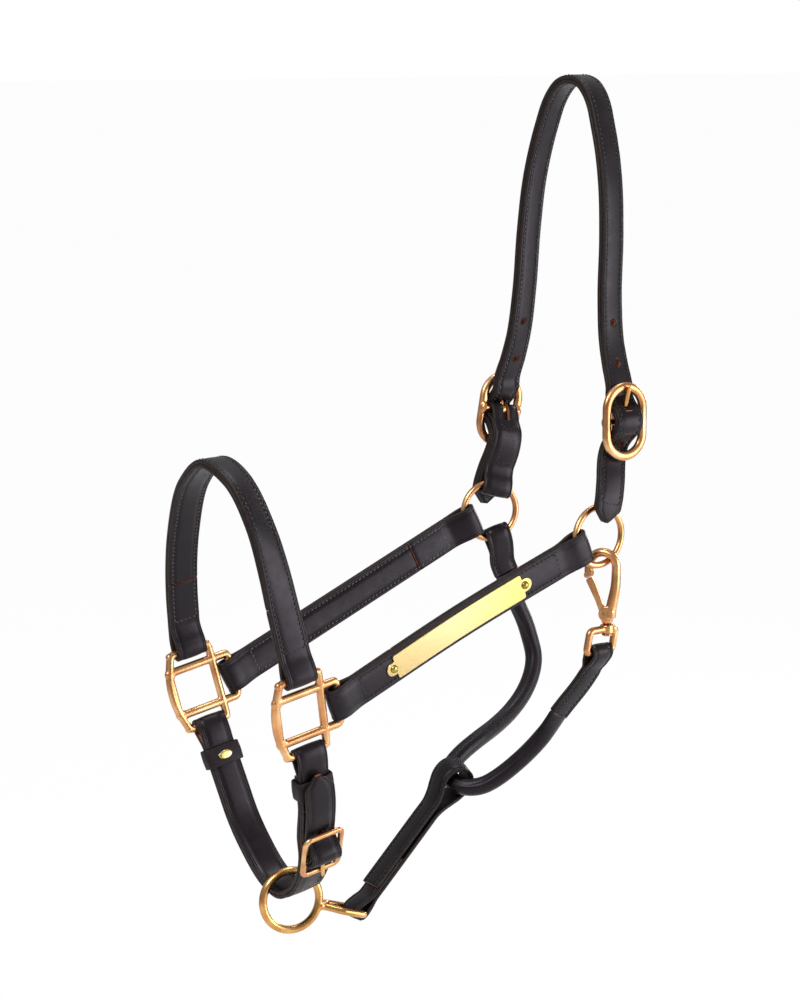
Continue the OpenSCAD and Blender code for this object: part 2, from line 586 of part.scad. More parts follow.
// ---- Throat ----
// Stations of the throat's middle from the far tab round under the jaw to the near tab.
throat_route = [[-11, 64, -346], [-6.8, 63.4, -356], [-4.2, 62.7, -366], [3, 61, -382], [6, 58, -396],
    [7, 55, -406], [2, 50, -417], [-9, 44, -429], [-25, 37, -439], [-45, 28, -446], [-69, 18, -452],
    [-86, 14, -459.5], [-96.5, 9.5, -466], [-101.5, 2.5, -470], [-102.3, -4.5, -472.2],
    [-99, -12, -474], [-91, -19.5, -473.3], [-80, -27, -466], [-73, -32, -459], [-62, -41, -445], [-55, -46.6, -434], [-48.5, -50.8, -422]];
throat_n = unit([0.81, 0.26, -0.52]);
far_tab_n = unit([0.92, -0.22, 0.32]);
near_tab_n = unit([0.887, 0.29, -0.352]);
tab_hw = jaw_w / 2;
tab_ht = 3.4;
butt = 0.4;
function throat_run(lo, hi) = let (n = len(throat_route) - 1, r = roll_d / 2)
    smooth([for (i = [lo : hi]) let (f = min(1, i / 4), g = min(1, (n - i) / 4))
        [throat_route[i], throat_n * f * g + far_tab_n * (1 - f) + near_tab_n * (1 - g)]]);
function taper(s) = let (l = lengths(s), n = total(s)) [for (i = [0 : len(s) - 1])
    let (f = min(1, min(l[i], n - l[i]) / 22))
    [s[i][0], s[i][1], tab_hw + (roll_d / 2 - tab_hw) * f, tab_ht + (roll_d / 2 - tab_ht) * f]];
module throat_roll() {
    color(leather)
    rod(taper(throat_run(0, len(throat_route) - 1)), core_d / 2 + seam);
}
module throat_core() {
    s = throat_run(0, len(throat_route) - 1);
    n = total(s);
    color(lining)
    rod([for (p = cut(s, 2, n - 2)) [p[0], p[1], core_d / 2, core_d / 2]]);
}
// Flat folded end of the throat: up one side of run s, round the fitting and down the other.
function tab(s, turn) = smooth(concat(reversed(shift(s, thin_half)), turn, shift(s, -thin_half)));
module far_throat_tab() {
    run = unit(throat_route[1] - throat_route[0]);
    top = throat_route[0] - butt * run;
    d = onto(ring_n(far), top - ring_c(far));
    c = ring_c(far) + ring_r * d;
    turn = fold(c, d, ring_in(far), ring_wire / 2 + clear + thin_ply / 2 + ring_ease, ring_sag(jaw_w));
    color(leather)
    ribbon(tab(smooth([[c + 11 * d, turn[0][1]], [top - 8 * run, far_tab_n],
        [top, far_tab_n]], 5), turn), jaw_w, -thin_ply / 2,
        thin_ply / 2);
}
module near_throat_tab() {
    n = len(throat_route) - 1;
    run = unit(throat_route[n] - throat_route[n - 1]);
    low = throat_route[n] + butt * run;
    d = onto(eye_e, low - eye_bar_c);
    turn = fold(eye_bar_c, d, cross(d, -eye_e), eye_wire / 2 + clear + thin_ply / 2 + 2 * butt);
    color(leather)
    ribbon(tab(smooth([[eye_bar_c + [-3.6, 2.8, -11.5], -eye_e], [[-34, -57.2, -403.5], -near_tab_n],
        [low + 8 * run, -near_tab_n], [low, -near_tab_n]], 5), turn), jaw_w, -thin_ply / 2, thin_ply / 2);
}

// ---- Snap ----
// The hook hangs this far round the near ring from its lowest point.
hang_turn = 18;
ring_low = ring_c(near) + ring_r * [sin(hang_turn) * cos(ring_turn(near)), sin(hang_turn) * sin(ring_turn(near)),
    -cos(hang_turn)];
snap_turn = -52;
apex_z = ring_wire / 2 + hook_wire / 2 + 1.9;
swivel_h = 0.5;
hook_h = [cos(snap_turn), sin(snap_turn), 0];
hook_side = 1.3;
swivel_c = ring_low + [0, 0, apex_z - 50] + (swivel_h + hook_side) * hook_h;
eye_turn = 9;
eye_e = [cos(eye_turn), sin(eye_turn), 0];
eye_bar_c = [-24.5, -64.3, -379];
eye_wire = 4.4;
stem_d = 5;
module snap_place() {
    translate(ring_low + [0, 0, apex_z] + hook_side * hook_h) rotate(snap_turn) children();
}
// Middle of the hook's wire: along the snap, up.
hook_route = [[2.4, -44], [3, -39], [4.6, -31], [6, -23], [6.4, -14], [6, -6.5], [2.6, -1.4],
    [-2.8, 0.3], [-8.4, -1.6], [-11.8, -6.2], [-12.6, -12], [-12.3, -16.6]];
gate_pin = [-1, -41];
gate_t = 3;
gate_swing = 18;
pin_d = 2.4;
housing_t = 8;
collar_z = -48.7;
hub_z = -54.7;
module across_snap(p, d, h) {
    translate([p[0], 0, p[1]]) rotate([90, 0, 0]) cylinder(d = d, h = h, center = true);
}
module snap_hook() {
    color(brass)
    snap_place() difference() {
        union() {
            rod([for (p = smooth([for (q = hook_route) [[q[0], 0, q[1]], [0, 1, 0]]], 4))
                [p[0], p[1], hook_wire / 2, hook_wire / 2]]);
            across_snap([0.4, -41.5], 10.5, housing_t);
            translate([swivel_h, 0, collar_z]) cylinder(d = 8, h = 6);
            translate([swivel_h, 0, hub_z - 1]) cylinder(d = stem_d, h = 9);
            translate([swivel_h, 0, hub_z - clear - 2]) cylinder(d = 7.8, h = 2);
        }
        translate([gate_pin[0] - 4, 0, gate_pin[1] + 1.5]) cube([16, gate_t + 2 * clear, 12], center = true);
        across_snap(gate_pin, pin_d + 0.1, 20);
    }
}
// Gate's outline, [across, up]; its slanted top swings clear of the hook's nose.
gate_outline = [[-4, -42], [1.1, -39], [-2.8, -34], [-8.6, -19.5], [-9.9, -17.2], [-13.6, -18.9],
    [-14.1, -20], [-7.6, -33]];
module snap_gate() {
    color(brass)
    snap_place() difference() {
        union() {
            rotate([90, 0, 0]) linear_extrude(gate_t, center = true)
                polygon(gate_outline);
            across_snap(gate_pin, 7, gate_t);
        }
        across_snap(gate_pin, pin_d + 2 * clear, 20);
    }
}
module snap_pin() {
    color(brass)
    snap_place() across_snap(gate_pin, pin_d, housing_t + 0.6);
}
module snap_eye() {
    hw = 12.2;
    hub_h = 5.6;
    hub_c = [swivel_c[0], swivel_c[1], ring_low[2] + apex_z + hub_z + hub_h / 2];
    drop = eye_bar_c - hub_c;
    down = onto(eye_e, drop);
    lean = drop * eye_e;
    slant = 0.7 * lean;
    low = drop * down;
    out = cross(eye_e, -down);
    color(brass)
    difference() {
        union() {
            multmatrix([for (k = [0 : 2]) [eye_e[k], -down[k], out[k], hub_c[k]]])
                wire([[lean - hw, -low, 2.6], [lean + hw, -low, 2.6], [slant + hw, 0, 2.6],
                    [slant - hw, 0, 2.6]], eye_wire);
            translate(hub_c) cylinder(d = 9.6, h = hub_h, center = true);
        }
        translate(hub_c) cylinder(d = stem_d + 2 * clear, h = 12, center = true);
    }
}

// ---- Name plate ----
plate_t = 1;
plate_ear = 7;
plate_from = 24;
plate_out = -ply - seam / 2 - seam - plate_t / 2;
function plate_run(a, b) = cut(shift(cheek_mid(near), plate_out), a, b);
module name_plate() {
    a = plate_from;
    b = plate_from + plate_l;
    color(yellow_brass) {
        ribbon(plate_run(a + plate_ear, b - plate_ear), plate_w, -plate_t / 2, plate_t / 2);
        ribbon(plate_run(a, a + plate_ear), 9, -plate_t / 2, plate_t / 2);
        ribbon(plate_run(b - plate_ear, b), 9, -plate_t / 2, plate_t / 2);
    }
}
module plate_rivets() {
    rivet_d = 5.4;
    s = plate_run(0, plate_from + plate_l + 10);
    l = lengths(s);
    color(yellow_brass)
    for (x = [plate_from + plate_ear - 1.5, plate_from + plate_l - plate_ear + 1.5]) {
        i = max([for (k = [0 : len(s) - 2]) if (l[k] <= x) k]);
        n = -inward(s, i);
        p = at(s, l, x)[0] + (plate_t / 2 + seam) * n;
        translate(p) rotate([0, acos(n[2]), atan2(n[1], n[0])]) difference() {
            translate([0, 0, -0.8]) sphere(d = rivet_d);
            translate([0, 0, -rivet_d]) cylinder(d = 2 * rivet_d, h = rivet_d);
        }
    }
}

noseband_outer();
noseband_lining();
cheek_outer(near);  // near_cheek_outer
cheek_lining(near);  // near_cheek_lining
cheek_outer(far);  // far_cheek_outer
cheek_lining(far);  // far_cheek_lining
crown_outer();
crown_lining();
chape(near);  // near_chape
chape(far);  // far_chape
chin_strap();
chin_chape();
near_keeper();
far_keeper();
keeper_plate();
throat_roll();
throat_core();
near_throat_tab();
far_throat_tab();
jaw_strap();
square(near);  // near_square
square(far);  // far_square
cheek_ring(near);  // near_ring
cheek_ring(far);  // far_ring
crown_buckle(near);  // near_crown_buckle
crown_buckle(far);  // far_crown_buckle
crown_tongue(near);  // near_crown_tongue
crown_tongue(far);  // far_crown_tongue
chin_buckle();
chin_tongue();
chin_ring();
snap_hook();
snap_gate();
snap_pin();
snap_eye();
name_plate();
plate_rivets();
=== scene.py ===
import math
from itertools import accumulate

import bmesh
import bpy
from mathutils import Matrix, Vector


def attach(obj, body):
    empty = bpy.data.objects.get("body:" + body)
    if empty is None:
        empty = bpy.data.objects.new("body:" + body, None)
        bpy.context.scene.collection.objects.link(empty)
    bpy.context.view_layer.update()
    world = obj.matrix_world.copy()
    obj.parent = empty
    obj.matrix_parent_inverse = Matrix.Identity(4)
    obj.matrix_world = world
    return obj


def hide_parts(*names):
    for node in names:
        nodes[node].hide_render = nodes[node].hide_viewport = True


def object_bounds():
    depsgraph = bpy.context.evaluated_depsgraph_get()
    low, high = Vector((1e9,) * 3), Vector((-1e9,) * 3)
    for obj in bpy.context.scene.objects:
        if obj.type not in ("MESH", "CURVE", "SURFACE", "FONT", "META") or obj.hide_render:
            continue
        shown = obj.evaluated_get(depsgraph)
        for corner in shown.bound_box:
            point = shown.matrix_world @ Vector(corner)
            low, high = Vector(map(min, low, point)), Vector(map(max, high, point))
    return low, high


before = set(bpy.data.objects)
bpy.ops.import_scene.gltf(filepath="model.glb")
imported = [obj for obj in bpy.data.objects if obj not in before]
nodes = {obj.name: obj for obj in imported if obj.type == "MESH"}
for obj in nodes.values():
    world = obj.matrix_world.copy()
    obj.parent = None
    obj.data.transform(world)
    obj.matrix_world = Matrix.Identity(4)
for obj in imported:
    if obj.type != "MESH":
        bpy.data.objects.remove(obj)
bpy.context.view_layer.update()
MM = 0.001
near, far = -1, 1
SIDES = (near, "near"), (far, "far")
HEAD = "headcollar"


def V(*a):
    return Vector(a)


def cosd(a):
    return math.cos(math.radians(a))


def sind(a):
    return math.sin(math.radians(a))


X, Y, Z = V(1, 0, 0), V(0, 1, 0), V(0, 0, 1)

# ---- sizes, as in the part's source
strap_w, crown_w, jaw_w = 22, 20, 18
ply, thin_ply, seam, turn_l = 2.8, 2.0, 0.1, 34
roll_d, hole_d, hole_pitch = 12, 4.6, 26.7
keeper_t, keeper_h = 1.8, 13
ring_r, ring_wire, square_bar = 19.8, 4.4, 4.6
chin_ring_r, chin_ring_wire, crown_bar, chin_bar, hook_wire = 20, 5.6, 5.4, 3.4, 5.4
plate_l, plate_w = 124, 17
ring_y, square_y, buckle_y = 64, 69, 73
nose_tilt, square_lean, clear = 12, 8, 0.3
half = (ply + seam) / 2
thin_half = (thin_ply + seam) / 2
# Space between the end of a turned ply and the lining
lining_gap = 0.6


# ---- runs of strap
# A station is (point, direction of the strap's width).
def mix(a, b, t):
    return a * (1 - t) + b * t


def rev(s):
    return list(reversed(s))


def span(s, i):
    return (s[i + 1][0] - s[i][0]).length


def slope(s, i):
    """Direction of a run at a station, weighed by the lengths on both sides."""
    if i == 0:
        return (s[1][0] - s[0][0]) / span(s, 0)
    if i == len(s) - 1:
        return (s[i][0] - s[i - 1][0]) / span(s, i - 1)
    a, b = span(s, i - 1), span(s, i)
    return ((s[i][0] - s[i - 1][0]) / a * b + (s[i + 1][0] - s[i][0]) / b * a) / (a + b)


def smooth(s, every=8.0):
    """A cubic curve through the stations, with one at least every so many millimetres."""
    out = []
    for i in range(len(s) - 1):
        h = span(s, i)
        n = max(1, math.ceil(h / every))
        mp, mq = slope(s, i), slope(s, i + 1)
        for k in range(n):
            t = k / n
            p = (
                (2 * t**3 - 3 * t**2 + 1) * s[i][0]
                + (t**3 - 2 * t**2 + t) * h * mp
                + (3 * t**2 - 2 * t**3) * s[i + 1][0]
                + (t**3 - t**2) * h * mq
            )
            out.append((p, mix(s[i][1], s[i + 1][1], t)))
    return out + [s[-1]]


def eased(s, times):
    """Evens out the bends between the two ends of a run."""
    for _ in range(times):
        mids = [((s[i - 1][0] + 2 * s[i][0] + s[i + 1][0]) / 4, s[i][1]) for i in range(1, len(s) - 1)]
        s = [s[0], *mids, s[-1]]
    return s


def tangent(s, i):
    return (s[min(i + 1, len(s) - 1)][0] - s[max(i - 1, 0)][0]).normalized()


def square_on(t, b):
    return (b - t * (b @ t)).normalized()


def axes(s, i, closed=False):
    """Tangent, across and inward normal of a run at a station."""
    t = (s[(i + 1) % len(s)][0] - s[i - 1][0]).normalized() if closed else tangent(s, i)
    b = square_on(t, s[i][1])
    return t, b, t.cross(b)


def shift(s, d):
    """The run moved by d towards the inside of the headcollar."""
    return [(s[i][0] + d * axes(s, i)[2], s[i][1]) for i in range(len(s))]


def lengths(s):
    return [0.0, *accumulate(span(s, i) for i in range(len(s) - 1))]


def total(s):
    return lengths(s)[-1]


def at(s, ls, x):
    """The station x along a run whose lengths are ls."""
    i = max([k for k in range(len(s) - 1) if ls[k] <= x] or [0])
    t = (x - ls[i]) / (ls[i + 1] - ls[i])
    return (mix(s[i][0], s[i + 1][0], t), mix(s[i][1], s[i + 1][1], t))


def cut(s, a, b):
    """The part of a run from a to b along it."""
    ls = lengths(s)
    inside = [s[i] for i in range(len(s)) if a + 0.5 < ls[i] < b - 0.5]
    return [at(s, ls, a)] + inside + [at(s, ls, b)]


def station(s, ls, x):
    """Point, tangent, across and normal of a run, x along it."""
    i = max(k for k in range(len(s) - 1) if ls[k] <= x)
    t = (s[i + 1][0] - s[i][0]).normalized()
    p, a = at(s, ls, x)
    b = square_on(t, a)
    return p, t, b, t.cross(b)


def fold(c, d, m, r, slack=0.0, n=6):
    """Half a turn of radius r round the bar at c: d points back along the strap."""
    return [
        (c - d * slack + r * (m * cosd(180 * k / n) - d * sind(180 * k / n)), m.cross(d))
        for k in range(n + 1)
    ]


def turned(s, f1, f2):
    """The outer ply: along a run, round a fold at each end, and back inside to its cut ends."""
    n = total(s)
    start, end = cut(s, 0, turn_l), cut(s, n - turn_l, n)
    return smooth(rev(shift(start, half)) + f1 + shift(s, -half) + f2 + rev(shift(end, half)))


def between(s):
    """The lining: what is left of the inside between the two turned ends."""
    return shift(cut(s, turn_l + lining_gap, total(s) - turn_l - lining_gap), half)


def looped(s, f1, f2, h):
    """A chape: both legs of a run and a fold at each end, closed by a butt joint half-way."""
    n = total(s)
    legs = shift(s, -h)
    return smooth(cut(legs, n / 2 + clear, n) + f2 + rev(shift(s, h)) + f1 + cut(legs, 0, n / 2 - clear))


def onto(n, a):
    """The direction of a, laid into the plane that n stands on."""
    return (a - n * (a @ n)).normalized()


# ---- places
nose_u = V(cosd(nose_tilt), 0, sind(nose_tilt))
nose_v = V(-sind(nose_tilt), 0, cosd(nose_tilt))
square_mid = V(-262.5, 0, -396.3)
# A square: its slots' bars, the middle opening, the cheek's bar and the strap's line
slot_out, open_v, open_u, cheek_bar_u, square_rise, strap_u = 26, 15, 17, 29.3, 3.8, 3
nose_c = square_mid + strap_u * nose_u


def nose_p(s, v):
    """A point in the plane of the noseband: s to the far side and v up it."""
    return nose_c + s * Y + v * nose_v


def square_v(side):
    return cosd(square_lean) * nose_v + side * sind(square_lean) * Y


def square_in(side):
    return -side * square_v(side).cross(nose_u)


def square_c(side):
    return square_mid + side * square_y * Y - side * square_rise * nose_v


def noseband_bar(side):
    return square_c(side) + strap_u * nose_u + slot_out * square_v(side)


def chin_bar_c(side):
    return square_c(side) + strap_u * nose_u - slot_out * square_v(side)


def cheek_bar_c(side):
    return square_c(side) + cheek_bar_u * nose_u


square_fold = square_bar / 2 + clear + ply / 2
ring_x, ring_z = -25.7, -299.8


def ring_turn(side):
    return 3 if side == near else -12


def ring_c(side):
    return V(ring_x, side * ring_y, ring_z)


def ring_n(side):
    return V(sind(ring_turn(side)), -cosd(ring_turn(side)), 0)


def ring_in(side):
    return side * ring_n(side)


# Play of a ring in the folds that hold it
ring_ease = 0.7


def ring_sag(w):
    """How far a ring curves away under a strap of width w."""
    return ring_r - math.sqrt(ring_r**2 - (w / 2) ** 2) + ring_ease


ring_fold = ring_wire / 2 + clear + ply / 2 + ring_ease / 2
thin_ring_fold = ring_wire / 2 + clear + thin_ply / 2 + ring_ease


def buckle_rise(side):
    return 2.2 if side == near else -5


def buckle_lean(side):
    return 0 if side == near else 10


# A buckle's half width and half height, its centre bar, and how far the bar is set inwards
buckle_hw, buckle_hh, centre_bar, bar_set = crown_w / 2 + 2 + crown_bar / 2, 23.3, 4, 3
buckle_x, buckle_z = -11.7, -224.5


def buckle_c(side):
    return V(buckle_x, side * buckle_y, buckle_z + buckle_rise(side))


def buckle_bar(side):
    return buckle_c(side) - side * bar_set * Y


def buckle_across(side):
    return V(-side * cosd(buckle_lean(side)), 0, side * sind(buckle_lean(side)))


# ---- materials
def lin(*rgb):
    """An sRGB colour of 0 to 255 as Blender's linear RGBA."""
    parts = [c / 255 for c in rgb]
    return tuple(c / 12.92 if c <= 0.04045 else ((c + 0.055) / 1.055) ** 2.4 for c in parts) + (1,)


def feed(n, *values, **inputs):
    """Fills a shader node's inputs in order or by name: a socket is linked, a value typed in."""
    named = [(n.inputs[key.replace("_", " ")], v) for key, v in inputs.items()]
    for socket, v in [*zip(n.inputs, values), *named]:
        if isinstance(v, bpy.types.NodeSocket):
            n.id_data.links.new(v, socket)
        else:
            socket.default_value = v
    return n


def node(tree, kind, *values, **inputs):
    return feed(tree.nodes.new("ShaderNode" + kind), *values, **inputs)


def ramp(tree, fac, *stops):
    r = node(tree, "ValToRGB", Fac=fac)
    el = r.color_ramp.elements
    while len(el) < len(stops):
        el.new(0.5)
    for e, (pos, col) in zip(el, stops):
        e.position, e.color = pos, col
    return r.outputs["Color"]


class Mat:
    """A Principled material whose textures follow the object, with bumps that add up."""

    def __init__(self, name):
        self.m = bpy.data.materials.new(name)
        self.m.use_nodes = True
        self.tree = self.m.node_tree
        self.b = self.tree.nodes["Principled BSDF"]
        self.where = self.tree.nodes.new("ShaderNodeTexCoord").outputs
        self.normal = None

    def put(self, **inputs):
        feed(self.b, **inputs)
        return self

    def uv(self, scale=(1, 1, 1)):
        return node(self.tree, "Mapping", Vector=self.where["UV"], Scale=scale).outputs[0]

    def noise(self, scale, detail=4, rough=0.55, vec=None):
        vec = vec or self.where["Object"]
        n = node(self.tree, "TexNoise", Vector=vec, Scale=scale, Detail=detail, Roughness=rough)
        return n.outputs["Fac"]

    def cells(self, scale):
        n = node(self.tree, "TexVoronoi", Vector=self.where["Object"], Scale=scale)
        n.feature = "DISTANCE_TO_EDGE"
        return n.outputs["Distance"]

    def tint(self, fac, *stops):
        return self.put(Base_Color=ramp(self.tree, fac, *stops))

    def rough(self, fac, a, b):
        n = node(self.tree, "MapRange", Value=fac, From_Min=0.3, From_Max=0.7, To_Min=a, To_Max=b)
        return self.put(Roughness=n.outputs["Result"])

    def bump(self, height, strength, distance):
        n = node(self.tree, "Bump", Height=height, Strength=strength, Distance=distance)
        if self.normal:
            feed(n, Normal=self.normal)
        self.normal = n.outputs["Normal"]
        return self.put(Normal=self.normal)


def leather_mat(name, dark, light, rough, grain, coat):
    m = Mat(name).put(Specular_IOR_Level=0.2, Coat_Weight=coat, Coat_Roughness=0.3, Coat_IOR=1.35)
    m.put(Specular_Tint=lin(236, 226, 245)).tint(m.noise(70, 5), (0.3, dark), (0.7, light))
    m.rough(m.noise(160, 3), *rough)
    # Pores, a finer grain, and slow waves
    m.bump(m.cells(900), 0.1 * grain, 0.00008).bump(m.noise(1500, 3, 0.6), 0.1 * grain, 0.00006)
    return m.bump(m.noise(130, 4), 0.08, 0.0003).m


LEATHER = leather_mat("bridle_leather", lin(13, 9, 10), lin(23, 17, 19), (0.34, 0.46), 1.0, 0.1)
FLESH = leather_mat("flesh_side", lin(19, 14, 14), lin(33, 24, 25), (0.46, 0.62), 1.6, 0.0)


def edge_mat(name, dark, light):
    m = Mat(name).put(Specular_IOR_Level=0.2)
    m.tint(m.noise(240, 6, 0.7), (0.3, dark), (0.7, light)).rough(m.noise(300, 3), 0.42, 0.66)
    return m.bump(m.noise(1200, 4, 0.7), 0.3, 0.00012).m


EDGE = edge_mat("burnished_edge", lin(18, 13, 12), lin(36, 26, 23))
TAN = edge_mat("raw_tan_edge", lin(104, 56, 36), lin(160, 92, 58))


def thread_mat(name, dark, light):
    m = Mat(name).put(Roughness=0.45, Specular_IOR_Level=0.35)
    m.tint(m.noise(420, 2), (0.35, dark), (0.65, light))
    return m.bump(m.noise(2600, 2), 0.5, 0.0001).m


THREAD = thread_mat("waxed_thread", lin(7, 6, 7), lin(20, 17, 20))
# A lighter copy of the waxed thread for the inner rows, with a painted highlight in its colour.
HIGHLIT_THREAD = thread_mat("highlit_thread", lin(48, 43, 48), lin(84, 77, 84))


def brass_mat(name, dark, mid, bright, rough):
    m = Mat(name).put(Metallic=1.0)
    m.tint(m.noise(55, 2, 0.5), (0.3, lin(*dark)), (0.5, lin(*mid)), (0.7, lin(*bright)))
    return m.rough(m.noise(90, 2), *rough).bump(m.noise(60, 2, 0.4), 0.05, 0.0002).m


BRASS = brass_mat("rosy_brass", (170, 115, 76), (196, 143, 97), (218, 172, 124), (0.26, 0.35))
RING = brass_mat("yellow_brass", (170, 120, 70), (198, 148, 90), (220, 178, 118), (0.22, 0.31))
PALE = brass_mat("pale_brass", (208, 190, 118), (220, 204, 136), (230, 216, 150), (0.26, 0.36))
RIVET = brass_mat("aged_rivet", (112, 92, 44), (150, 128, 66), (186, 164, 92), (0.25, 0.4))


def plate_mat():
    m = Mat("name_plate_brass").put(Metallic=0.9)
    along = node(m.tree, "SeparateXYZ", Vector=m.uv()).outputs["X"]
    m.tint(along, (0.0, lin(172, 150, 102)), (0.45, lin(181, 161, 116)), (0.9, lin(158, 146, 86)))
    brushed = m.noise(5, 5, 0.7, m.uv((4, 260, 1)))
    return m.rough(brushed, 0.26, 0.42).bump(brushed, 0.12, 0.0001).bump(m.noise(240, 3), 0.05, 0.0002).m


def cord_mat():
    m = Mat("twisted_cord").put(Roughness=0.9)
    m.tint(m.noise(500), (0.3, lin(150, 138, 112)), (0.7, lin(205, 192, 160)))
    return m.bump(m.cells(700), 0.5, 0.0004).m


PLATE, CORD = plate_mat(), cord_mat()


# ---- meshes
def shell(rows, n, start=0, closed=False):
    """Faces between rings of n points, with a cap at each end unless the rings close."""
    faces = []
    for i in range(rows if closed else rows - 1):
        a, b = start + n * i, start + n * ((i + 1) % rows)
        faces += [(a + j, a + (j + 1) % n, b + (j + 1) % n, b + j) for j in range(n)]
    if not closed:
        end = start + n * (rows - 1)
        faces += [tuple(range(start, start + n))[::-1], tuple(range(end, end + n))]
    return faces


def solid(name, verts, faces, mats, index=None, uvs=None):
    """A mesh in metres, with its normals outwards."""
    me = bpy.data.meshes.new(name)
    me.from_pydata([tuple(v * MM) for v in verts], [], faces)
    for m in mats:
        me.materials.append(m)
    if index:
        me.polygons.foreach_set("material_index", index)
    if uvs:
        layer = me.uv_layers.new(name="UVMap")
        for lp in me.loops:
            layer.data[lp.index].uv = uvs[lp.vertex_index]
    me.validate()
    bm = bmesh.new()
    bm.from_mesh(me)
    bmesh.ops.recalc_face_normals(bm, faces=bm.faces)
    bm.to_mesh(me)
    bm.free()
    return me


def shown(name, data):
    ob = bpy.data.objects.new(name, data)
    bpy.context.scene.collection.objects.link(ob)
    return ob


def make(name, verts, faces, mats, body, slot, replaces=(), index=None, uvs=None, flat=False):
    """A piece that rides a body, takes its finish from mats and may stand for CAD nodes. slot is not used.
    """
    me = solid(name, verts, faces, mats, index, uvs)
    me.polygons.foreach_set("use_smooth", [not flat] * len(me.polygons))
    ob = shown(name, me)
    if replaces:
        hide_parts(*replaces)
    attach(ob, body)
    return ob


def baked(ob):
    """Applies the object's modifiers to its mesh."""
    dg = bpy.context.evaluated_depsgraph_get()
    new = bpy.data.meshes.new_from_object(ob.evaluated_get(dg), depsgraph=dg)
    ob.modifiers.clear()
    ob.data = new
    return ob


def drill(ob, *cutters, wall=TAN):
    """Cuts closed (verts, faces) solids out of a piece."""
    for verts, faces in cutters:
        me = solid("cutter", verts, faces, [wall])
        c = shown("cutter", me)
        md = ob.modifiers.new("cut", "BOOLEAN")
        md.operation, md.solver, md.object = "DIFFERENCE", "EXACT", c
        md.material_mode = "TRANSFER"
        baked(ob)
        bpy.data.objects.remove(c)
        bpy.data.meshes.remove(me)
    return ob


def circle(c, u, v, r, n):
    return [c + r * (u * cosd(360 * k / n) + v * sind(360 * k / n)) for k in range(n)]


def cyl(p, q, r, n=24):
    t = (q - p).normalized()
    b = square_on(t, X if abs(t.x) < 0.7 else Y)
    m = t.cross(b)
    return circle(p, b, m, r, n) + circle(q, b, m, r, n), shell(2, n)


def brick(M, c, sx, sy, sz):
    ends = (-0.5, 0.5)
    verts = [M @ (c + V(sx * i, sy * j, sz * k)) for i in ends for j in ends for k in ends]
    return verts, [(0, 1, 3, 2), (4, 6, 7, 5), (0, 4, 5, 1), (2, 3, 7, 6), (0, 2, 6, 4), (1, 5, 7, 3)]


# Depths of the grooves in a strap's face: a channel carries the main stitch row, a crease runs by
# the edge, and a lining's stitches sink into a furrow.
channel, crease, furrow = 0.14, 0.12, 0.2


def half_profile(h, y, r, rows, s, dome=0.32):
    """One face of a section from edge to edge, for rows of (inset, depth) grooves and a domed middle."""
    pts = [(-h + r, y)]
    for x0, deep in sorted([(-h + i, d) for i, d in rows] + [(h - i, d) for i, d in rows]):
        a = 0.7 if deep == channel else 0.45
        pts += [(x0 - a, y), (x0 - 0.3, y + s * deep), (x0 + 0.3, y + s * deep), (x0 + a, y)]
    pts.append((h - r, y))
    mid = len(pts) // 2
    inner = h - max([i for i, d in rows] or [r]) - 0.8
    pts[mid:mid] = [(x * inner, y - s * dome * (1 - x * x)) for x in (-0.6, 0, 0.6)]
    return pts


def profile(w, lo, hi, outer_rows, inner_rows):
    """Closed outline of a strap's section, with the material of each side: face, edge or back."""
    h = w / 2
    r = min(0.75, (hi - lo) * 0.3)
    k = 0.3 * r
    a = half_profile(h, lo, r, outer_rows, 1)
    b = half_profile(h, hi, r, inner_rows, -1)
    right = [(h - k, lo + k), (h, lo + r), (h + 0.05, (lo + hi) / 2), (h, hi - r), (h - k, hi - k)]
    left = [(-x, y) for x, y in reversed(right)]
    pts = a + right + list(reversed(b)) + left
    kinds = []
    for i in range(len(pts)):
        x0, x1 = pts[i][0], pts[(i + 1) % len(pts)][0]
        edge = min(abs(x0), abs(x1)) >= h - r - 1e-6 and x0 * x1 > 0
        kinds.append(1 if edge else 0 if i < len(a) else 2)
    return pts, kinds


def strap(name, s, w, node, rows, inner=(), t=ply, off=0.0, every=2.0, closed=False, width=None,
          body=HEAD, mats=(LEATHER, EDGE, FLESH), slot="leather"):
    """A strap swept along stations, its middle off by so much inwards. rows and inner are the grooves
    of its two faces, width(x, length) narrows it, and mats are those of its face, edge and back."""
    s = smooth(s, every)
    if closed:
        s = s[:-1]
    n = len(s)
    ls = lengths(s)
    pts, kinds = profile(w, off - t / 2, off + t / 2, rows, inner)
    verts, uvs = [], []
    for i in range(n):
        _, b, m = axes(s, i, closed)
        f = width(ls[i], ls[-1]) if width else 1.0
        # A cut end is pared a little thinner.
        e = 0.72 if not closed and i in (0, n - 1) else 1.0
        for x, y in pts:
            verts.append(s[i][0] + b * x * f + m * (off + (y - off) * e))
            uvs.append((ls[i] / max(ls[-1], 1), x / w + 0.5))
    index = kinds * n if closed else kinds * (n - 1) + [3, 3]
    faces = shell(n, len(pts), closed=closed)
    return make(name, verts, faces, [*mats, TAN], body, slot, [node], index, uvs)


# Stitches: small capsules on a strap's face. A frame is (point, along, across, out of the face).
def line_on(s, x, y, a, b, pitch=3.3):
    """Frames at an even pitch from a to b along a run, x across and y through it."""
    ls = lengths(s)
    n = max(1, round((b - a) / pitch))
    out = []
    for j in range(n):
        p, t, c, m = station(s, ls, a + (b - a) * (j + 0.5) / n)
        out.append((p + c * x + m * y, t, c, m))
    return out


def cross_on(s, x, y, half_w, pitch=3.0):
    """Frames across a run, x along it."""
    p, t, c, m = station(s, lengths(s), x)
    n = round(2 * half_w / pitch)
    return [(p + c * (-half_w + 2 * half_w * (j + 0.5) / n) + m * y, c, t, m) for j in range(n)]


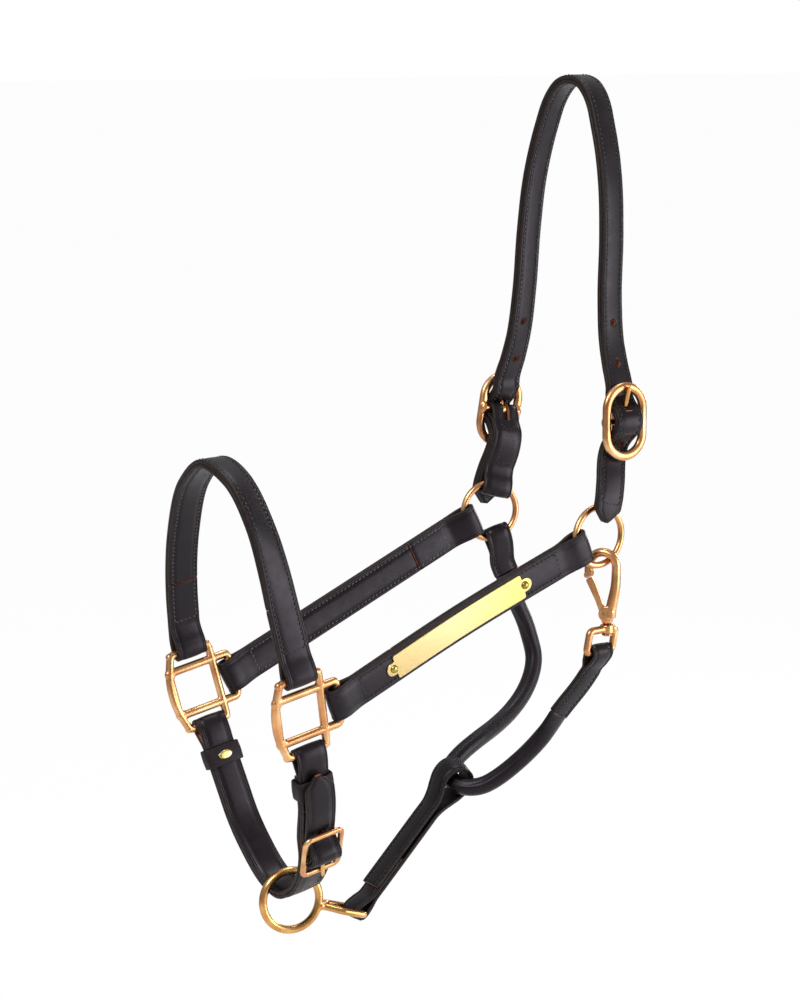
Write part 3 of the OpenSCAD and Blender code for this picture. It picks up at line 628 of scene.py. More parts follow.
def path_on(s, route, y, pitch=2.7):
    """Frames along a plan route of (distance along, x across) corners."""
    out = []
    ls = lengths(s)
    for (a0, x0), (a1, x1) in zip(route, route[1:]):
        n = max(1, round(math.hypot(a1 - a0, x1 - x0) / pitch))
        for j in range(n):
            f = (j + 0.5) / n
            p, t, c, m = station(s, ls, a0 + (a1 - a0) * f)
            u = (t * (a1 - a0) + c * (x1 - x0)).normalized()
            out.append((p + c * (x0 + (x1 - x0) * f) + m * y, u, m.cross(u), m))
    return out


def stitches(name, frames, long=2.1, wide=1.15, high=0.8, mat=THREAD):
    verts, faces = [], []
    rings = [(-1, 0.35), (-0.7, 0.85), (0, 1), (0.7, 0.85), (1, 0.35)]
    slant, n = 16, 6
    for p, t, b, m in frames:
        u = t * cosd(slant) + b * sind(slant)
        v = b * cosd(slant) - t * sind(slant)
        faces += shell(len(rings), n, len(verts))
        for z, r in rings:
            verts += circle(p + u * z * long / 2, v * wide / 2, m * high / 2, r, n)
    make(name, verts, faces, [mat], HEAD, "leather")


def sewn(name, s, inset, w, a, b, pitch=3.3):
    """Two rows and closing cross rows, in dark thread outside and, inside, a paler copy of it with a
    painted highlight.
    """
    x, out = w / 2 - inset, face - 0.05
    for y, tail, mat, wide, high in ((-out, "", THREAD, 1.4, 1.1), (out, "_inner", HIGHLIT_THREAD, 1.0, 0.8)):
        fr = line_on(s, -x, y, a, b, pitch) + line_on(s, x, y, a, b, pitch)
        fr += cross_on(s, a, y, x) + cross_on(s, b, y, x)
        stitches(name + tail, fr, mat=mat, wide=wide, high=high)


# Tubes and closed wires, as (verts, faces).
def tube(s, sec=None, closed=False, k=20):
    """Swept along (point, across, half width, half thickness); sec(angle) scales the radius."""
    n = len(s)
    verts = []
    for i, (p, _, hw, ht) in enumerate(s):
        t, b, m = axes(s, i, closed)
        for j in range(k):
            a = 360 * j / k
            f = sec(a) if sec else 1
            verts.append(p + b * hw * f * cosd(a) + m * ht * f * sind(a))
    return verts, shell(n, k, closed=closed)


def rounded(path, steps=8):
    """Closed plan outline [x, y, radius], turning left, as points."""
    out = []
    n = len(path)
    for i, (x, y, r) in enumerate(path):
        p, before, after = V(x, y, 0), path[i - 1], path[(i + 1) % n]
        u = (p - V(*before[:2], 0)).normalized()
        w = (V(*after[:2], 0) - p).normalized()
        a = math.degrees(math.acos(max(-1, min(1, u @ w))))
        q = V(-u.y, u.x, 0)
        c = p - u * r * math.tan(math.radians(a / 2)) + q * r
        out += [c + r * (u * sind(a * k / steps) - q * cosd(a * k / steps)) for k in range(steps + 1)]
    return out


def wire(path, wide, high):
    """Closed wire in the local XY plane with an oval section: wide in the plane, high out of it."""
    pts = rounded(path)
    full = []
    for p, q in zip(pts, pts[1:] + pts[:1]):
        n = max(1, math.ceil((q - p).length / 2.5))
        full += [p + (q - p) * j / n for j in range(n)]
    return tube([(p, Z, high / 2, wide / 2) for p in full], closed=True, k=16)


def hoop(r, wide, high, n, k=20):
    return tube([(p, Z, high / 2, wide / 2) for p in circle(V(0, 0, 0), X, Y, r, n)], closed=True, k=k)


def ball(c, rx, ry=None, rz=None):
    ry, rz = ry or rx, rz or rx
    verts, n, steps = [], 16, 8
    for i in range(1, steps):
        a = 180 * i / steps
        verts += circle(c + rz * cosd(a) * Z, rx * X, ry * Y, sind(a), n)
    return verts, shell(steps - 1, n)


def joined(parts, M=None):
    verts, faces = [], []
    for v, f in parts:
        o = len(verts)
        verts += [M @ p if M else p for p in v]
        faces += [tuple(i + o for i in q) for q in f]
    return verts, faces


def cast(name, parts, M, node, voxel, relax=3, body=HEAD, mat=BRASS, slot="brass"):
    """Solids melted into one smooth casting."""
    ob = make(name, *joined(parts, M), [mat], body, slot, [node])
    md = ob.modifiers.new("melt", "REMESH")
    md.mode, md.voxel_size, md.use_smooth_shade = "VOXEL", voxel * MM, True
    sm = ob.modifiers.new("relax", "SMOOTH")
    sm.factor, sm.iterations = 0.5, relax
    baked(ob)
    if not ob.data.materials:
        ob.data.materials.append(mat)
    return ob


def place(p, *rots):
    """OpenSCAD's translate and rotate([x, y, z]) as a matrix."""
    M = Matrix.Translation(p)
    for rx, ry, rz in rots:
        M = M @ rot(rz, "Z") @ rot(ry, "Y") @ rot(rx, "X")
    return M


def rot(a, axis):
    return Matrix.Rotation(math.radians(a), 4, axis)


# Stitch rows: how far in they are, and the grooves that a two-ply strap has on each face
stitch_in, crown_stitch_in = 2.9, 2.7
outer_rows, lining_rows = ((stitch_in, channel), (1.4, crease)), ((stitch_in, furrow),)
lining_mats = FLESH, EDGE, LEATHER
# Height of the stitches over the middle of a two-ply strap, and of a folded thin one
face, thin_face = ply + seam / 2 + 0.1, thin_ply + seam / 2 + 0.06

# ---- noseband
noseband_route = [
    (-71.5, 43, 0, 12), (-68.5, 75, 4, 12), (-66.5, 100, 12, 11), (-60.5, 128, 22, 8), (-45, 154, 24, 4),
    (-17, 165, 14, 0), (14.5, 149.5, 5, 3), (45.8, 110, 0, 8), (66.5, 64, 0, 12), (73, 40, 0, 12),
]
noseband_mid = smooth([
    (nose_p(s, v), V(cosd(a) * cosd(b), sind(a) * cosd(b), sind(b))) for s, v, a, b in noseband_route
])


def noseband_fold(side):
    c = noseband_bar(side)
    d = ((noseband_mid[0] if side == near else noseband_mid[-1])[0] - c).normalized()
    return fold(c, d, d.cross(nose_u), square_fold)


def two_ply(name, mid, f1, f2, a, b):
    """An outer ply turned round two folds, its lining, and their stitches from a to b."""
    strap(name + "_outer_ply", turned(mid, f1, f2), strap_w, name + "_outer", outer_rows)
    strap(name + "_lining_ply", between(mid), strap_w, name + "_lining", (), lining_rows,
          mats=lining_mats, slot="lining")
    sewn(name + "_stitching", smooth(mid, 2), stitch_in, strap_w, a, b)


two_ply("noseband", noseband_mid, noseband_fold(near), noseband_fold(far), 5, total(noseband_mid) - 5)

# ---- cheeks
# Length of the straight part of a cheek beyond each bar
reach = 14


def cheek_dir(side):
    return onto(square_in(side), ring_c(side) - cheek_bar_c(side))


def cheek_ring_dir(side):
    return onto(ring_n(side), cheek_bar_c(side) - ring_c(side))


def cheek_ring_c(side):
    return ring_c(side) + ring_r * cheek_ring_dir(side)


def cheek_mid(side):
    a = square_in(side).cross(cheek_dir(side))
    b = (-ring_in(side)).cross(cheek_ring_dir(side))
    p = cheek_bar_c(side) + reach * cheek_dir(side)
    q = cheek_ring_c(side) + reach * cheek_ring_dir(side)
    bow = 2 if side == near else 0
    middle = mix(p, q, 0.5) + bow * V(-0.4, 0, 0.92).normalized()
    return smooth([(p, a), (middle, mix(a, b, 0.5)), (q, b)])


for side, nm in SIDES:
    mid, d = cheek_mid(side), cheek_dir(side)
    f1 = fold(cheek_bar_c(side), d, square_in(side), square_fold, strap_w / 2 * abs(d @ square_v(side)))
    f2 = fold(cheek_ring_c(side), cheek_ring_dir(side), -ring_in(side), ring_fold, ring_sag(strap_w))
    two_ply(nm + "_cheek", mid, f1, f2, 4, total(mid) - 6)

# ---- crown
crown_route = [
    (-24.1, 73.8, -291, 0), (-21.1, 74.6, -276, 0), (-18.7, 70.8, -262, 0), (-16.2, 66, -249, 0),
    (-14.2, 66.2, -240.5, 0), (-12.7, 72.1, -233.5, 0), (-12, 76.9, -228.5, 0), (-11.7, 77.8, -224.5, 0),
    (-11.6, 76.7, -220.5, 0), (-11.3, 71.8, -215.5, 0), (-11, 66, -208.5, 2), (-10.8, 65.4, -202, 4),
    (-10, 60, -189, 8), (-9, 54, -172, 12), (-7.5, 49.5, -143, 14), (-5.2, 47.5, -100, 14),
    (-3.5, 43.5, -66, 14), (-2.4, 38.5, -46, 14), (-1.5, 32, -28, 14), (-0.5, 24, -11, 14),
    (0, 13, -0.3, 14),
]


def crown_side(side):
    """One side of the crown strap, at its buckle's height, with the near end drifting forwards."""
    out = []
    for x, y, z, a in crown_route:
        follow = min(1, max(0, (-130 - z) / 65))
        drift = 0 if side == far or z > -245 else 4.2 * min(1, (-245 - z) / 30)
        out.append((V(x - drift, side * y, z + buckle_rise(side) * follow), V(cosd(a), sind(a), 0)))
    return out


crown_top = V(0, 0, ply + seam / 2), V(cosd(14), sind(14), 0)
crown_mid = smooth([*crown_side(near), crown_top, *rev(crown_side(far))])
tongue_d, tongue_l, tongue_swing = 3, 26.5, 6
tongue_rest = math.degrees(
    math.atan(bar_set / buckle_hh)
    + math.asin((crown_bar / 2 + tongue_d / 2 + clear) / math.hypot(bar_set, buckle_hh))
)


def tongue_place(side, swing=0):
    return place(buckle_bar(side), (0, buckle_lean(side), 0), (-side * (tongue_rest + swing), 0, 0))


def slot_cut(M, d, length):
    """Room for a tongue of diameter d to swing through the leather."""
    return brick(M, V(0, 0, length / 2), d + 2 * clear, d + 2 * clear + 1.3, length)


# The free holes are drawn a little wider than in the part, as wide as they look in the photo
punched = hole_d + 0.7
cuts, slots, holes = [], [], []
for side in (near, far):
    for z in (-160 - hole_pitch * k for k in (0, 1, 3)):
        p = V(z * 0.053, side * 60, z + buckle_rise(side))
        holes.append((side, p))
        cuts.append(cyl(p - 30 * Y, p + 30 * Y, punched / 2, 28))
    slots.append(slot_cut(tongue_place(side, tongue_swing / 2), tongue_d, tongue_l))


def crown_tip(a, b):
    return min(1.0, (1.4 + a) / (crown_w / 2), (1.4 + b - a) / (crown_w / 2))


plies = [
    strap("crown_outer_ply", crown_mid, crown_w, "crown_outer", ((crown_stitch_in, channel), (1.3, crease)),
          off=-half, width=crown_tip),
    strap("crown_lining_ply", crown_mid, crown_w, "crown_lining", (), ((crown_stitch_in, furrow),),
          off=half, width=crown_tip, mats=lining_mats, slot="lining"),
]
for piece in plies:
    drill(piece, *cuts)
    drill(piece, *slots, wall=EDGE)
fine = smooth(crown_mid, 2)
sewn("crown_stitching", fine, crown_stitch_in, crown_w, 13, total(crown_mid) - 13, 3.2)

# Dark pressed rims of the crown's free holes.
rims = []
for side, p in holes:
    same = [i for i in range(1, len(fine) - 1) if fine[i][0].y * side > 0]
    i = min(same, key=lambda k: abs(fine[k][0].z - p.z))
    t, b, m = axes(fine, i)
    c = V(p.x, fine[i][0].y, p.z)
    for y in (-face + 0.08, face - 0.08):
        ring = circle(c + m * y, b, t, punched / 2 + 0.4, 24)
        rims.append(tube([(q, m, 0.16, 0.42) for q in ring], closed=True, k=8))
make("crown_hole_rims", *joined(rims), [EDGE], HEAD, "lining")


# ---- crown chapes
def chape_dir(side):
    return onto(ring_n(side), buckle_c(side) - ring_c(side) + V(0 if side == near else 6, 0, 0))


def chape_mid(side):
    d, e, c = chape_dir(side), buckle_bar(side) - ring_c(side), ring_c(side)
    across = ring_in(side).cross(d)
    out = []
    for y, h in ((63.2, 13), (60.4, 22), (58.9, 32), (59.5, 39), (63.9, 46.8)):
        q = ring_r + h * (1 + buckle_rise(side) / 55.5)
        x = c.x + mix(d.x / d.z, e.x / e.z, h / 55.5) * q
        out.append((V(x, side * y, c.z + q), mix(across, buckle_across(side), h / 50)))
    return smooth(out, 5)


def chape(name, path, node):
    return strap(name, path, strap_w, node, ((1.6, crease),), t=thin_ply, every=1.5)


def eye_slot(M, d, reach):
    """The opening in a chape's fold for a tongue's eye."""
    return brick(M, V(0, 0, 0), d + 1.4 + 2 * clear, reach, reach)


for side, nm in SIDES:
    mid = chape_mid(side)
    b = buckle_across(side)
    d = onto(b, V(0, -side * 0.5, -0.87))
    top = fold(buckle_bar(side), d, d.cross(b), centre_bar / 2 + clear + thin_ply / 2)
    rd = chape_dir(side)
    low = fold(ring_c(side) + ring_r * rd, rd, ring_in(side), thin_ring_fold, ring_sag(strap_w))
    ob = chape(nm + "_chape_ply", looped(mid, low, top, thin_half), nm + "_chape")
    drill(ob, eye_slot(place(buckle_bar(side), (0, buckle_lean(side), 0)), tongue_d, 16))
    fine = smooth(mid, 1.5)
    n = total(mid)
    # On the inner face a curved cross row below the buckle, a V and a box above the ring.
    bow = [(n - 3, -7), (n - 6, -3.5), (n - 7, 0), (n - 6, 3.5), (n - 3, 7)]
    tip = [(n - 7.5, 0), (n - 15, -4.6), (3, -4.6), (3, 4.6), (n - 15, 4.6), (n - 7.5, 0)]
    fr = path_on(fine, bow, thin_face) + path_on(fine, tip, thin_face)
    fr += path_on(fine, [(n - 6, -6), (3, -6), (3, 6), (n - 6, 6)], -thin_face)
    stitches(nm + "_chape_stitching", fr, long=1.9, wide=1.0)


# ---- crown buckles and tongues
def tongue(name, bar, seat, bar_d, d, length):
    """A tongue's eye round its bar, and its slightly swollen shaft along Z of the seat."""
    v, f = hoop(bar_d / 2 + clear + 0.75, 1.5, d + 1.4, 40, 12)
    eye = [rot(90, "Y") @ p for p in v], f
    shaft, steps, root = [], 14, 2.2
    for j in range(steps + 1):
        t = j / steps
        w = d / 2 * (1.0 + 0.15 * math.sin(math.pi * t)) * (1 if t < 0.9 else 1 - 3.2 * (t - 0.9))
        shaft.append((V(0, 0, root + (length - root) * t), X, w, w * 0.92))
    verts, faces = joined([joined([tube(shaft, k=16)], seat), joined([eye], bar)])
    make(name + "_cast", verts, faces, [RING], name + "_body", "brass", [name])


for side, nm in SIDES:
    st = buckle_hh - buckle_hw
    turns = [(a, st) for a in range(0, 181, 6)] + [(a, -st) for a in range(180, 361, 6)]
    loop = [(V(buckle_hw * cosd(a), 0, z + buckle_hw * sind(a)), Y, crown_bar * 0.48, crown_bar / 2 + 0.55)
            for a, z in turns]
    ends = [V(sx * buckle_hw, -side * bar_set, 0) for sx in (-1, 1)]
    lugs = [ball(V(sx * buckle_hw, -side * 1.9, 0), 2.6, 2.6, 4.2) for sx in (-1, 1)]
    parts = [tube(loop, closed=True), cyl(*ends, centre_bar / 2 - 0.02, 20), *lugs]
    tilt = (0, buckle_lean(side), 0)
    cast(nm + "_crown_buckle_cast", parts, place(buckle_c(side), tilt), nm + "_crown_buckle", 0.42)
    tongue(nm + "_crown_tongue", place(buckle_bar(side), tilt), tongue_place(side), centre_bar, tongue_d,
           tongue_l)

# ---- squares and rings
for side, nm in SIDES:
    M = place(square_c(side), (0, -nose_tilt, 0), (90 - side * square_lean, 0, 0))
    b, s, v = square_bar, slot_out, open_v
    outer = wire([[open_u, -s, 3], [open_u, s, 3], [-12, s, 4], [-18, 9, 45], [-18, -9, 45], [-12, -s, 4]],
                 b + 0.9, b + 0.5)
    cheek = wire([[-16.6, v, 0.5], [-16.6, -v, 0.5], [cheek_bar_u, -v, 3], [cheek_bar_u, v, 3]],
                 b + 1.1, b + 0.4)
    middle = wire([[open_u, -v, 1], [open_u, v, 1], [-17, v, 7.5], [-17, -v, 7.5]], b, b)
    knobs = [ball(V(x, y, 0), 3.0, 2.7, 2.6) for x in (open_u - 0.4, -12.6) for y in (0.6 - s, s - 0.6)]
    knobs += [ball(V(open_u - 0.3, y, 0), 3.1, 3.1, 2.5) for y in (-v, v)]
    knobs += [ball(V(-15.6, y, 0), 3.0, 3.2, 2.5) for y in (-v, v)]
    cast(nm + "_square_cast", [outer, cheek, middle, *knobs], M, nm + "_square", 0.45)
    ring = joined([hoop(ring_r, ring_wire, ring_wire, 96)], place(ring_c(side), (90, 0, ring_turn(side))))
    make(nm + "_ring_wire", *ring, [BRASS], nm + "_ring_body", "brass", [nm + "_ring"])


# ---- chin strap
def in_nose(route):
    return [(nose_p(s, v), -nose_u) for s, v in route]


def chin_turn(c, p, r):
    d = (p - c).normalized()
    return fold(c, d, d.cross(-nose_u), r)


def nose_place(s, v, lean, *more):
    return place(nose_p(s, v), (0, -nose_tilt, 0), (lean, 0, 0), *more)


chin_inner_near = [
    (-61.6, -36), (-59.9, -47), (-57.7, -60), (-52.1, -73), (-48.1, -83), (-45.8, -95), (-36.5, -112),
]
chin_inner_far = [
    (-19, -127), (0, -133), (16.5, -127), (31.5, -111), (43, -91), (47.9, -75), (51.6, -62), (54.6, -52),
    (57.6, -42),
]
chin_outer_near = [
    (-71.9, -37), (-70.25, -47), (-68.9, -55), (-66.1, -64), (-61.8, -74), (-58.5, -83), (-60.7, -88.5),
    (-63.1, -94.5), (-61.4, -98.6), (-56.1, -100.4), (-49.7, -101), (-45.1, -106.8), (-38.6, -114.4),
]
# Spacing of the chin strap's two layers; its buckle, and the hole that shows beside it
layer = ply + 0.15
chin_pivot, chin_lean, chin_hh, chin_hw = (-57, -94), 28, 15.2, strap_w / 2 + 0.9 + chin_bar / 2
chin_tongue_d, chin_tongue_l = 2.6, chin_hh + 3.3
chin_hole_at, chin_hole_lean = (-60.1, -79.4), 110


def chin_tip(a, b):
    return min(1.0, (2.2 + a) / (strap_w / 2))


far_run = smooth(in_nose(chin_inner_far))
outer_run = smooth(in_nose(chin_outer_near) + shift(far_run, -layer), 4)
inner_run = smooth(in_nose(chin_inner_near) + in_nose(chin_inner_far))
last = nose_p(*chin_inner_far[-1]) + V(0, layer / 2, 0)
chin_path = smooth(outer_run + chin_turn(chin_bar_c(far), last, square_fold) + rev(inner_run))
ob = strap("chin_strap_ply", chin_path, strap_w, "chin_strap", ((3.0, 0.18), (1.7, 0.18)),
           ((2.6, channel),), width=chin_tip, mats=(LEATHER, EDGE, LEATHER))
chin_rest = math.degrees(math.asin((chin_bar / 2 + chin_tongue_d / 2 + clear) / chin_hh))


def chin_tongue_place(swing=0):
    return nose_place(*chin_pivot, chin_lean, (180 - chin_rest - swing, 0, 0))


hole_m = nose_place(*chin_hole_at, chin_hole_lean)
drill(ob, slot_cut(chin_tongue_place(tongue_swing / 2), chin_tongue_d, chin_tongue_l), wall=EDGE)
drill(ob, cyl(hole_m @ V(0, 0, -2.5), hole_m @ V(0, 0, 2.5), hole_d / 2, 28))

# Cross stitching where the strap closes round the far square.
stack_run = smooth([(p + V(0, layer / 2, 0), a) for p, a in in_nose(chin_inner_far[-4:])], 2)
n = total(stack_run)
a, b = n - 11, n - 1
y = layer / 2 + ply / 2 + 0.04
xs = []
for yy in (-y, y):
    xs += path_on(stack_run, [(a, -5.5), (b, 5.5)], yy) + path_on(stack_run, [(a, 5.5), (b, -5.5)], yy)
    xs += path_on(stack_run, [(a, -6.5), (b, -6.5), (b, 6.5), (a, 6.5), (a, -6.5)], yy)
stitches("chin_strap_stitching", xs, long=1.9, wide=1.0)

chape_run = smooth(in_nose([(-65.4, -37.5), (-63.8, -47), (-61.6, -60), (-57.1, -72), (-53.9, -81.5)]), 5)
low = chin_turn(chin_bar_c(near), chape_run[0][0], square_bar / 2 + clear + thin_ply / 2)
top = chin_turn(nose_p(*chin_pivot), chape_run[-1][0], chin_bar / 2 + clear + thin_ply / 2)
ob = chape("chin_chape_ply", looped(chape_run, low, top, thin_half), "chin_chape")
drill(ob, eye_slot(nose_place(*chin_pivot, 0), chin_tongue_d, 13))

# Chin buckle and tongue.
M = nose_place(*chin_pivot, chin_lean)
w, h = chin_hw, chin_hh
frame_w = wire([[-w, -h, 4], [w, -h, 4], [w, h, 4], [-w, h, 4]], chin_bar * 1.25, chin_bar * 1.05)
bar_w = cyl(V(-w, 0, 0), V(w, 0, 0), chin_bar / 2 - 0.1, 18)
knobs = [ball(V(x, 0, 0), 2.1, 2.3, 1.9) for x in (-w, w)]
cast("chin_buckle_cast", [frame_w, bar_w, *knobs], M @ rot(90, "X"), "chin_buckle", 0.38, 4)
tongue("chin_tongue", M, chin_tongue_place(), chin_bar, chin_tongue_d, chin_tongue_l)


# Keepers: closed loops of strap.
def keeper(side, M, stack):
    w, t, r = (strap_w + 1.2 + keeper_t) / 2, (stack + 0.75 + keeper_t) / 2, 1.6
    outline = rounded([[-w, -t, r], [w, -t, r], [w, t, r], [-w, t, r]], 5)
    s = [(M @ p, M.to_3x3() @ Z) for p in outline]
    strap(side + "_keeper_loop", s + s[:1], keeper_h, side + "_keeper", ((1.7, crease),),
          t=keeper_t - 0.3, closed=True, every=1.6, body=side + "_keeper_body")


near_stack, far_stack = 2 * thin_ply + seam + 0.25 + ply, 2 * ply + 0.15
keeper("near", nose_place(-62.45, -46, 9.65), near_stack)
M = nose_place(55.1 + layer / 2, -50.8, -16.7)
keeper("far", M, far_stack)
out = far_stack / 2 + 0.35 + keeper_t + seam
verts = []
for r, h in ((1.0, -0.3), (1.0, 0.75), (0.92, 1.0), (0.6, 1.08), (0.2, 1.1)):
    verts += circle(V(0, -out - h, 0), 5 * X, 2.8 * Z, r, 40)
make("keeper_plate_oval", [M @ v for v in verts], shell(5, 40), [PALE], "far_keeper_body", "yellow_brass",
     ["keeper_plate"])

# ---- chin ring and jaw strap
chin_ring_c = V(nose_c.x + 0.5, 0, nose_c.z) - 143 * nose_v
# The ring's rectangular loop: its slope, wire, reach and half width, and where the two join
loop_down, loop_wire, loop_out, loop_neck = 17, 4.6, 52.6, 35
loop_hw = jaw_w / 2 + 1.3 + loop_wire / 2
ring_turned = -10
join = (chin_ring_r + 2.5) * V(cosd(ring_turned), sind(ring_turned), 0)
ring = joined([hoop(chin_ring_r, chin_ring_wire, chin_ring_wire, 90)], rot(ring_turned, "Z") @ rot(90, "X"))
loop = wire([[join.x, join.y, 2.5], [loop_neck, -loop_hw, 6], [loop_out, -loop_hw, 2.6],
             [loop_out, loop_hw, 2.6], [loop_neck, loop_hw, 6]], loop_wire, loop_wire)
cast("chin_ring_cast", [ring, loop, ball(join - 0.6 * X, 3.2)], place(chin_ring_c, (0, loop_down, 0)),
     "chin_ring", 0.5, 4, mat=RING, slot="yellow_brass")

loop_e = V(cosd(loop_down), 0, -sind(loop_down))
jaw_bar = chin_ring_c + loop_out * loop_e
jaw_ply, throat_low = 2.4, V(-100.8, 0, -470.6)
jaw_dir = (throat_low - jaw_bar).normalized()
jaw_up = V(-jaw_dir.z, 0, jaw_dir.x)
jaw_l = (throat_low - jaw_bar).length


def jaw_p(w, o):
    return jaw_bar + w * jaw_dir + o * jaw_up, Y


# The strap's two plies lie a pitch apart and close at the neck, below the throat.
pitch = jaw_ply + seam
throat_across = V(0.11, 0.945, 0.3).normalized()
jd = onto(throat_across, -jaw_dir)
neck, bend_end = jaw_l - 22, 14
jaw_path = smooth(
    [jaw_p(w, 0) for w in range(bend_end + 32, bend_end - 1, -8)]
    + fold(jaw_bar, jaw_dir, jaw_up, loop_wire / 2 + clear + jaw_ply / 2)
    + [jaw_p(bend_end + 10 * k, -pitch) for k in range(int((neck - bend_end) // 10) + 1)]
    + fold(throat_low, jd, jd.cross(throat_across), roll_d / 2 + 3.2 + jaw_ply / 2, 1.5, 10)
    + [jaw_p(neck - 10 * k, pitch) for k in range(int((neck - 18) // 10) + 1)]
)
strap("jaw_strap_ply", jaw_path, jaw_w, "jaw_strap", ((2.4, 0.18),), t=jaw_ply)
flat = smooth([jaw_p(w, 0) for w in (8, 20, 32, 44, 56, neck - 2)], 2)


def two_rows(name, run, x, y, a, b, pitch):
    """Two rows of stitches on each of a flat strap's faces."""
    frames = [f for yy in (-y, y) for xx in (-x, x) for f in line_on(run, xx, yy, a, b, pitch)]
    stitches(name + "_stitching", frames)


two_rows("jaw_strap", flat, 6.6, pitch + jaw_ply / 2 + 0.04, 12, total(flat) - 1, 3.2)

# ---- rolled throat
throat_route = [V(*p) for p in (
    (-11, 64, -346), (-6.8, 63.4, -356), (-4.2, 62.7, -366), (3, 61, -382), (6, 58, -396), (7, 55, -406),
    (2, 50, -417), (-9, 44, -429), (-25, 37, -439), (-45, 28, -446), (-69, 18, -452), (-86, 14, -459.5),
    (-96.5, 9.5, -466), (-101.5, 2.5, -470), (-102.3, -4.5, -472.2), (-99, -12, -474), (-91, -19.5, -473.3),
    (-80, -27, -466), (-73, -32, -459), (-62, -41, -445), (-55, -46.6, -434), (-48.5, -50.8, -422),
)]
throat_n = V(0.81, 0.26, -0.52).normalized()
far_tab_n = V(0.92, -0.22, 0.32).normalized()
near_tab_n = V(0.887, 0.29, -0.352).normalized()
tab_hw, tab_ht, butt = jaw_w / 2, 3.4, 0.4
N = len(throat_route) - 1


def throat_across_at(i):
    far_part, near_part = 1 - min(1, i / 4), 1 - min(1, (N - i) / 4)
    return throat_n * (1 - far_part) * (1 - near_part) + far_tab_n * far_part + near_tab_n * near_part


run = eased(smooth([(p, throat_across_at(i)) for i, p in enumerate(throat_route)], 2.5), 8)
ls = lengths(run)
# Flat as the tabs at both ends, and round from this far in
flare = 22
body = []
for i, (p, a) in enumerate(run):
    f = min(1, min(ls[i], ls[-1] - ls[i]) / flare)
    f = f * f * (3 - 2 * f)
    body.append((p, a, mix(tab_hw, roll_d / 2, f), mix(tab_ht, roll_d / 2, f)))
# The last ring runs a little into the near tab.
tail = (run[-1][0] - run[-2][0]).normalized()
body.append((run[-1][0] + 2.2 * tail, run[-1][1], tab_hw * 0.96, tab_ht * 0.5))


def seam_dip(a):
    """The roll is closed by a seam along one side."""
    return 1 - 0.09 * math.exp(-(((a - 180) / 9) ** 2))


make("throat_roll_leather", *tube(body, seam_dip, k=40), [LEATHER], HEAD, "leather", ["throat_roll"])
fr, beside_seam = [], 158
for i in range(6, len(run) - 6):
    t, b, m = axes(run, i)
    q = b * cosd(beside_seam) * body[i][2] + m * sind(beside_seam) * body[i][3]
    fr.append((run[i][0] + q * 1.005, t, t.cross(q.normalized()), q.normalized()))
stitches("throat_stitching", fr, long=1.7, wide=0.8, high=0.5)


def tab(name, s, turn):
    """A flat end of the throat, folded round a fitting, with its stitches."""
    path = smooth(rev(shift(s, thin_half)) + turn + shift(s, -thin_half))
    strap(name + "_ply", path, jaw_w, name, ((2.4, 0.16),), t=thin_ply, every=1.5)
    two_rows(name, smooth(s, 2), 6.2, thin_face, 2, total(s) - 1, 3)


r0 = (throat_route[1] - throat_route[0]).normalized()
top = throat_route[0] - butt * r0
d = onto(ring_n(far), top - ring_c(far))
c = ring_c(far) + ring_r * d
turn = fold(c, d, ring_in(far), thin_ring_fold, ring_sag(jaw_w))
tab("far_throat_tab",
    smooth([(c + 11 * d, turn[0][1]), (top - 8 * r0, far_tab_n), (top, far_tab_n)], 5), turn)

# ---- snap
# How the hook is turned about the vertical, and where the ring lies in it
snap_turn, hook_side = -52, 1.3
apex_z = ring_wire / 2 + hook_wire / 2 + 1.9
ring_low = ring_c(near) + ring_r * V(sind(18) * cosd(3), sind(18) * sind(3), -cosd(18))
hook_h = V(cosd(snap_turn), sind(snap_turn), 0)
# The swivel under the hook: its axis, collar, hub and stem
swivel_h, collar_z, hub_z, stem_d = 0.5, -48.7, -54.7, 5
S = place(ring_low + V(0, 0, apex_z) + hook_side * hook_h, (0, 0, snap_turn))
hook_route = [
    (2.4, -44), (3, -39), (4.6, -31), (6, -23), (6.4, -14), (6, -6.5), (2.6, -1.4), (-2.8, 0.3),
    (-8.4, -1.6), (-11.8, -6.2), (-12.6, -12), (-12.3, -16.6),
]
spine = smooth([(V(x, 0, z), Y) for x, z in hook_route], 1.5)
ls = lengths(spine)
hook = []
for i, (p, a) in enumerate(spine):
    f = ls[i] / ls[-1]
    wide, thick = 1.6 - 0.5 * min(1, f / 0.5), 1.12 + 0.36 * max(0, 1 - f / 0.45)
    hook.append((p, a, hook_wire / 2 * wide, hook_wire / 2 * thick))


def across(p, d, h):
    return cyl(V(p[0], -h / 2, p[1]), V(p[0], h / 2, p[1]), d / 2, 28)


# The hook, its body round the pin, its nose, and the collar, stem and cap of the swivel.
parts = [
    tube(hook),
    across((0.4, -41.5), 10.4, 8),
    across((-12.3, -14.4), 5.4, 5.6),
    across((-13.3, -15.6), 4.4, 5.6),
    ball(V(swivel_h, 0, collar_z + 2.6), 4.1, 4.1, 3.4),
    cyl(V(swivel_h, 0, hub_z - 1), V(swivel_h, 0, -46), stem_d / 2, 20),
    ball(V(swivel_h, 0, hub_z - clear - 0.9), 3.8, 3.8, 1.25),
]
ob = cast("snap_hook_cast", parts, S, "snap_hook", 0.4, body="snap_body")
drill(ob, brick(S, V(-5, 0, -39.5), 16, 3.6, 12))
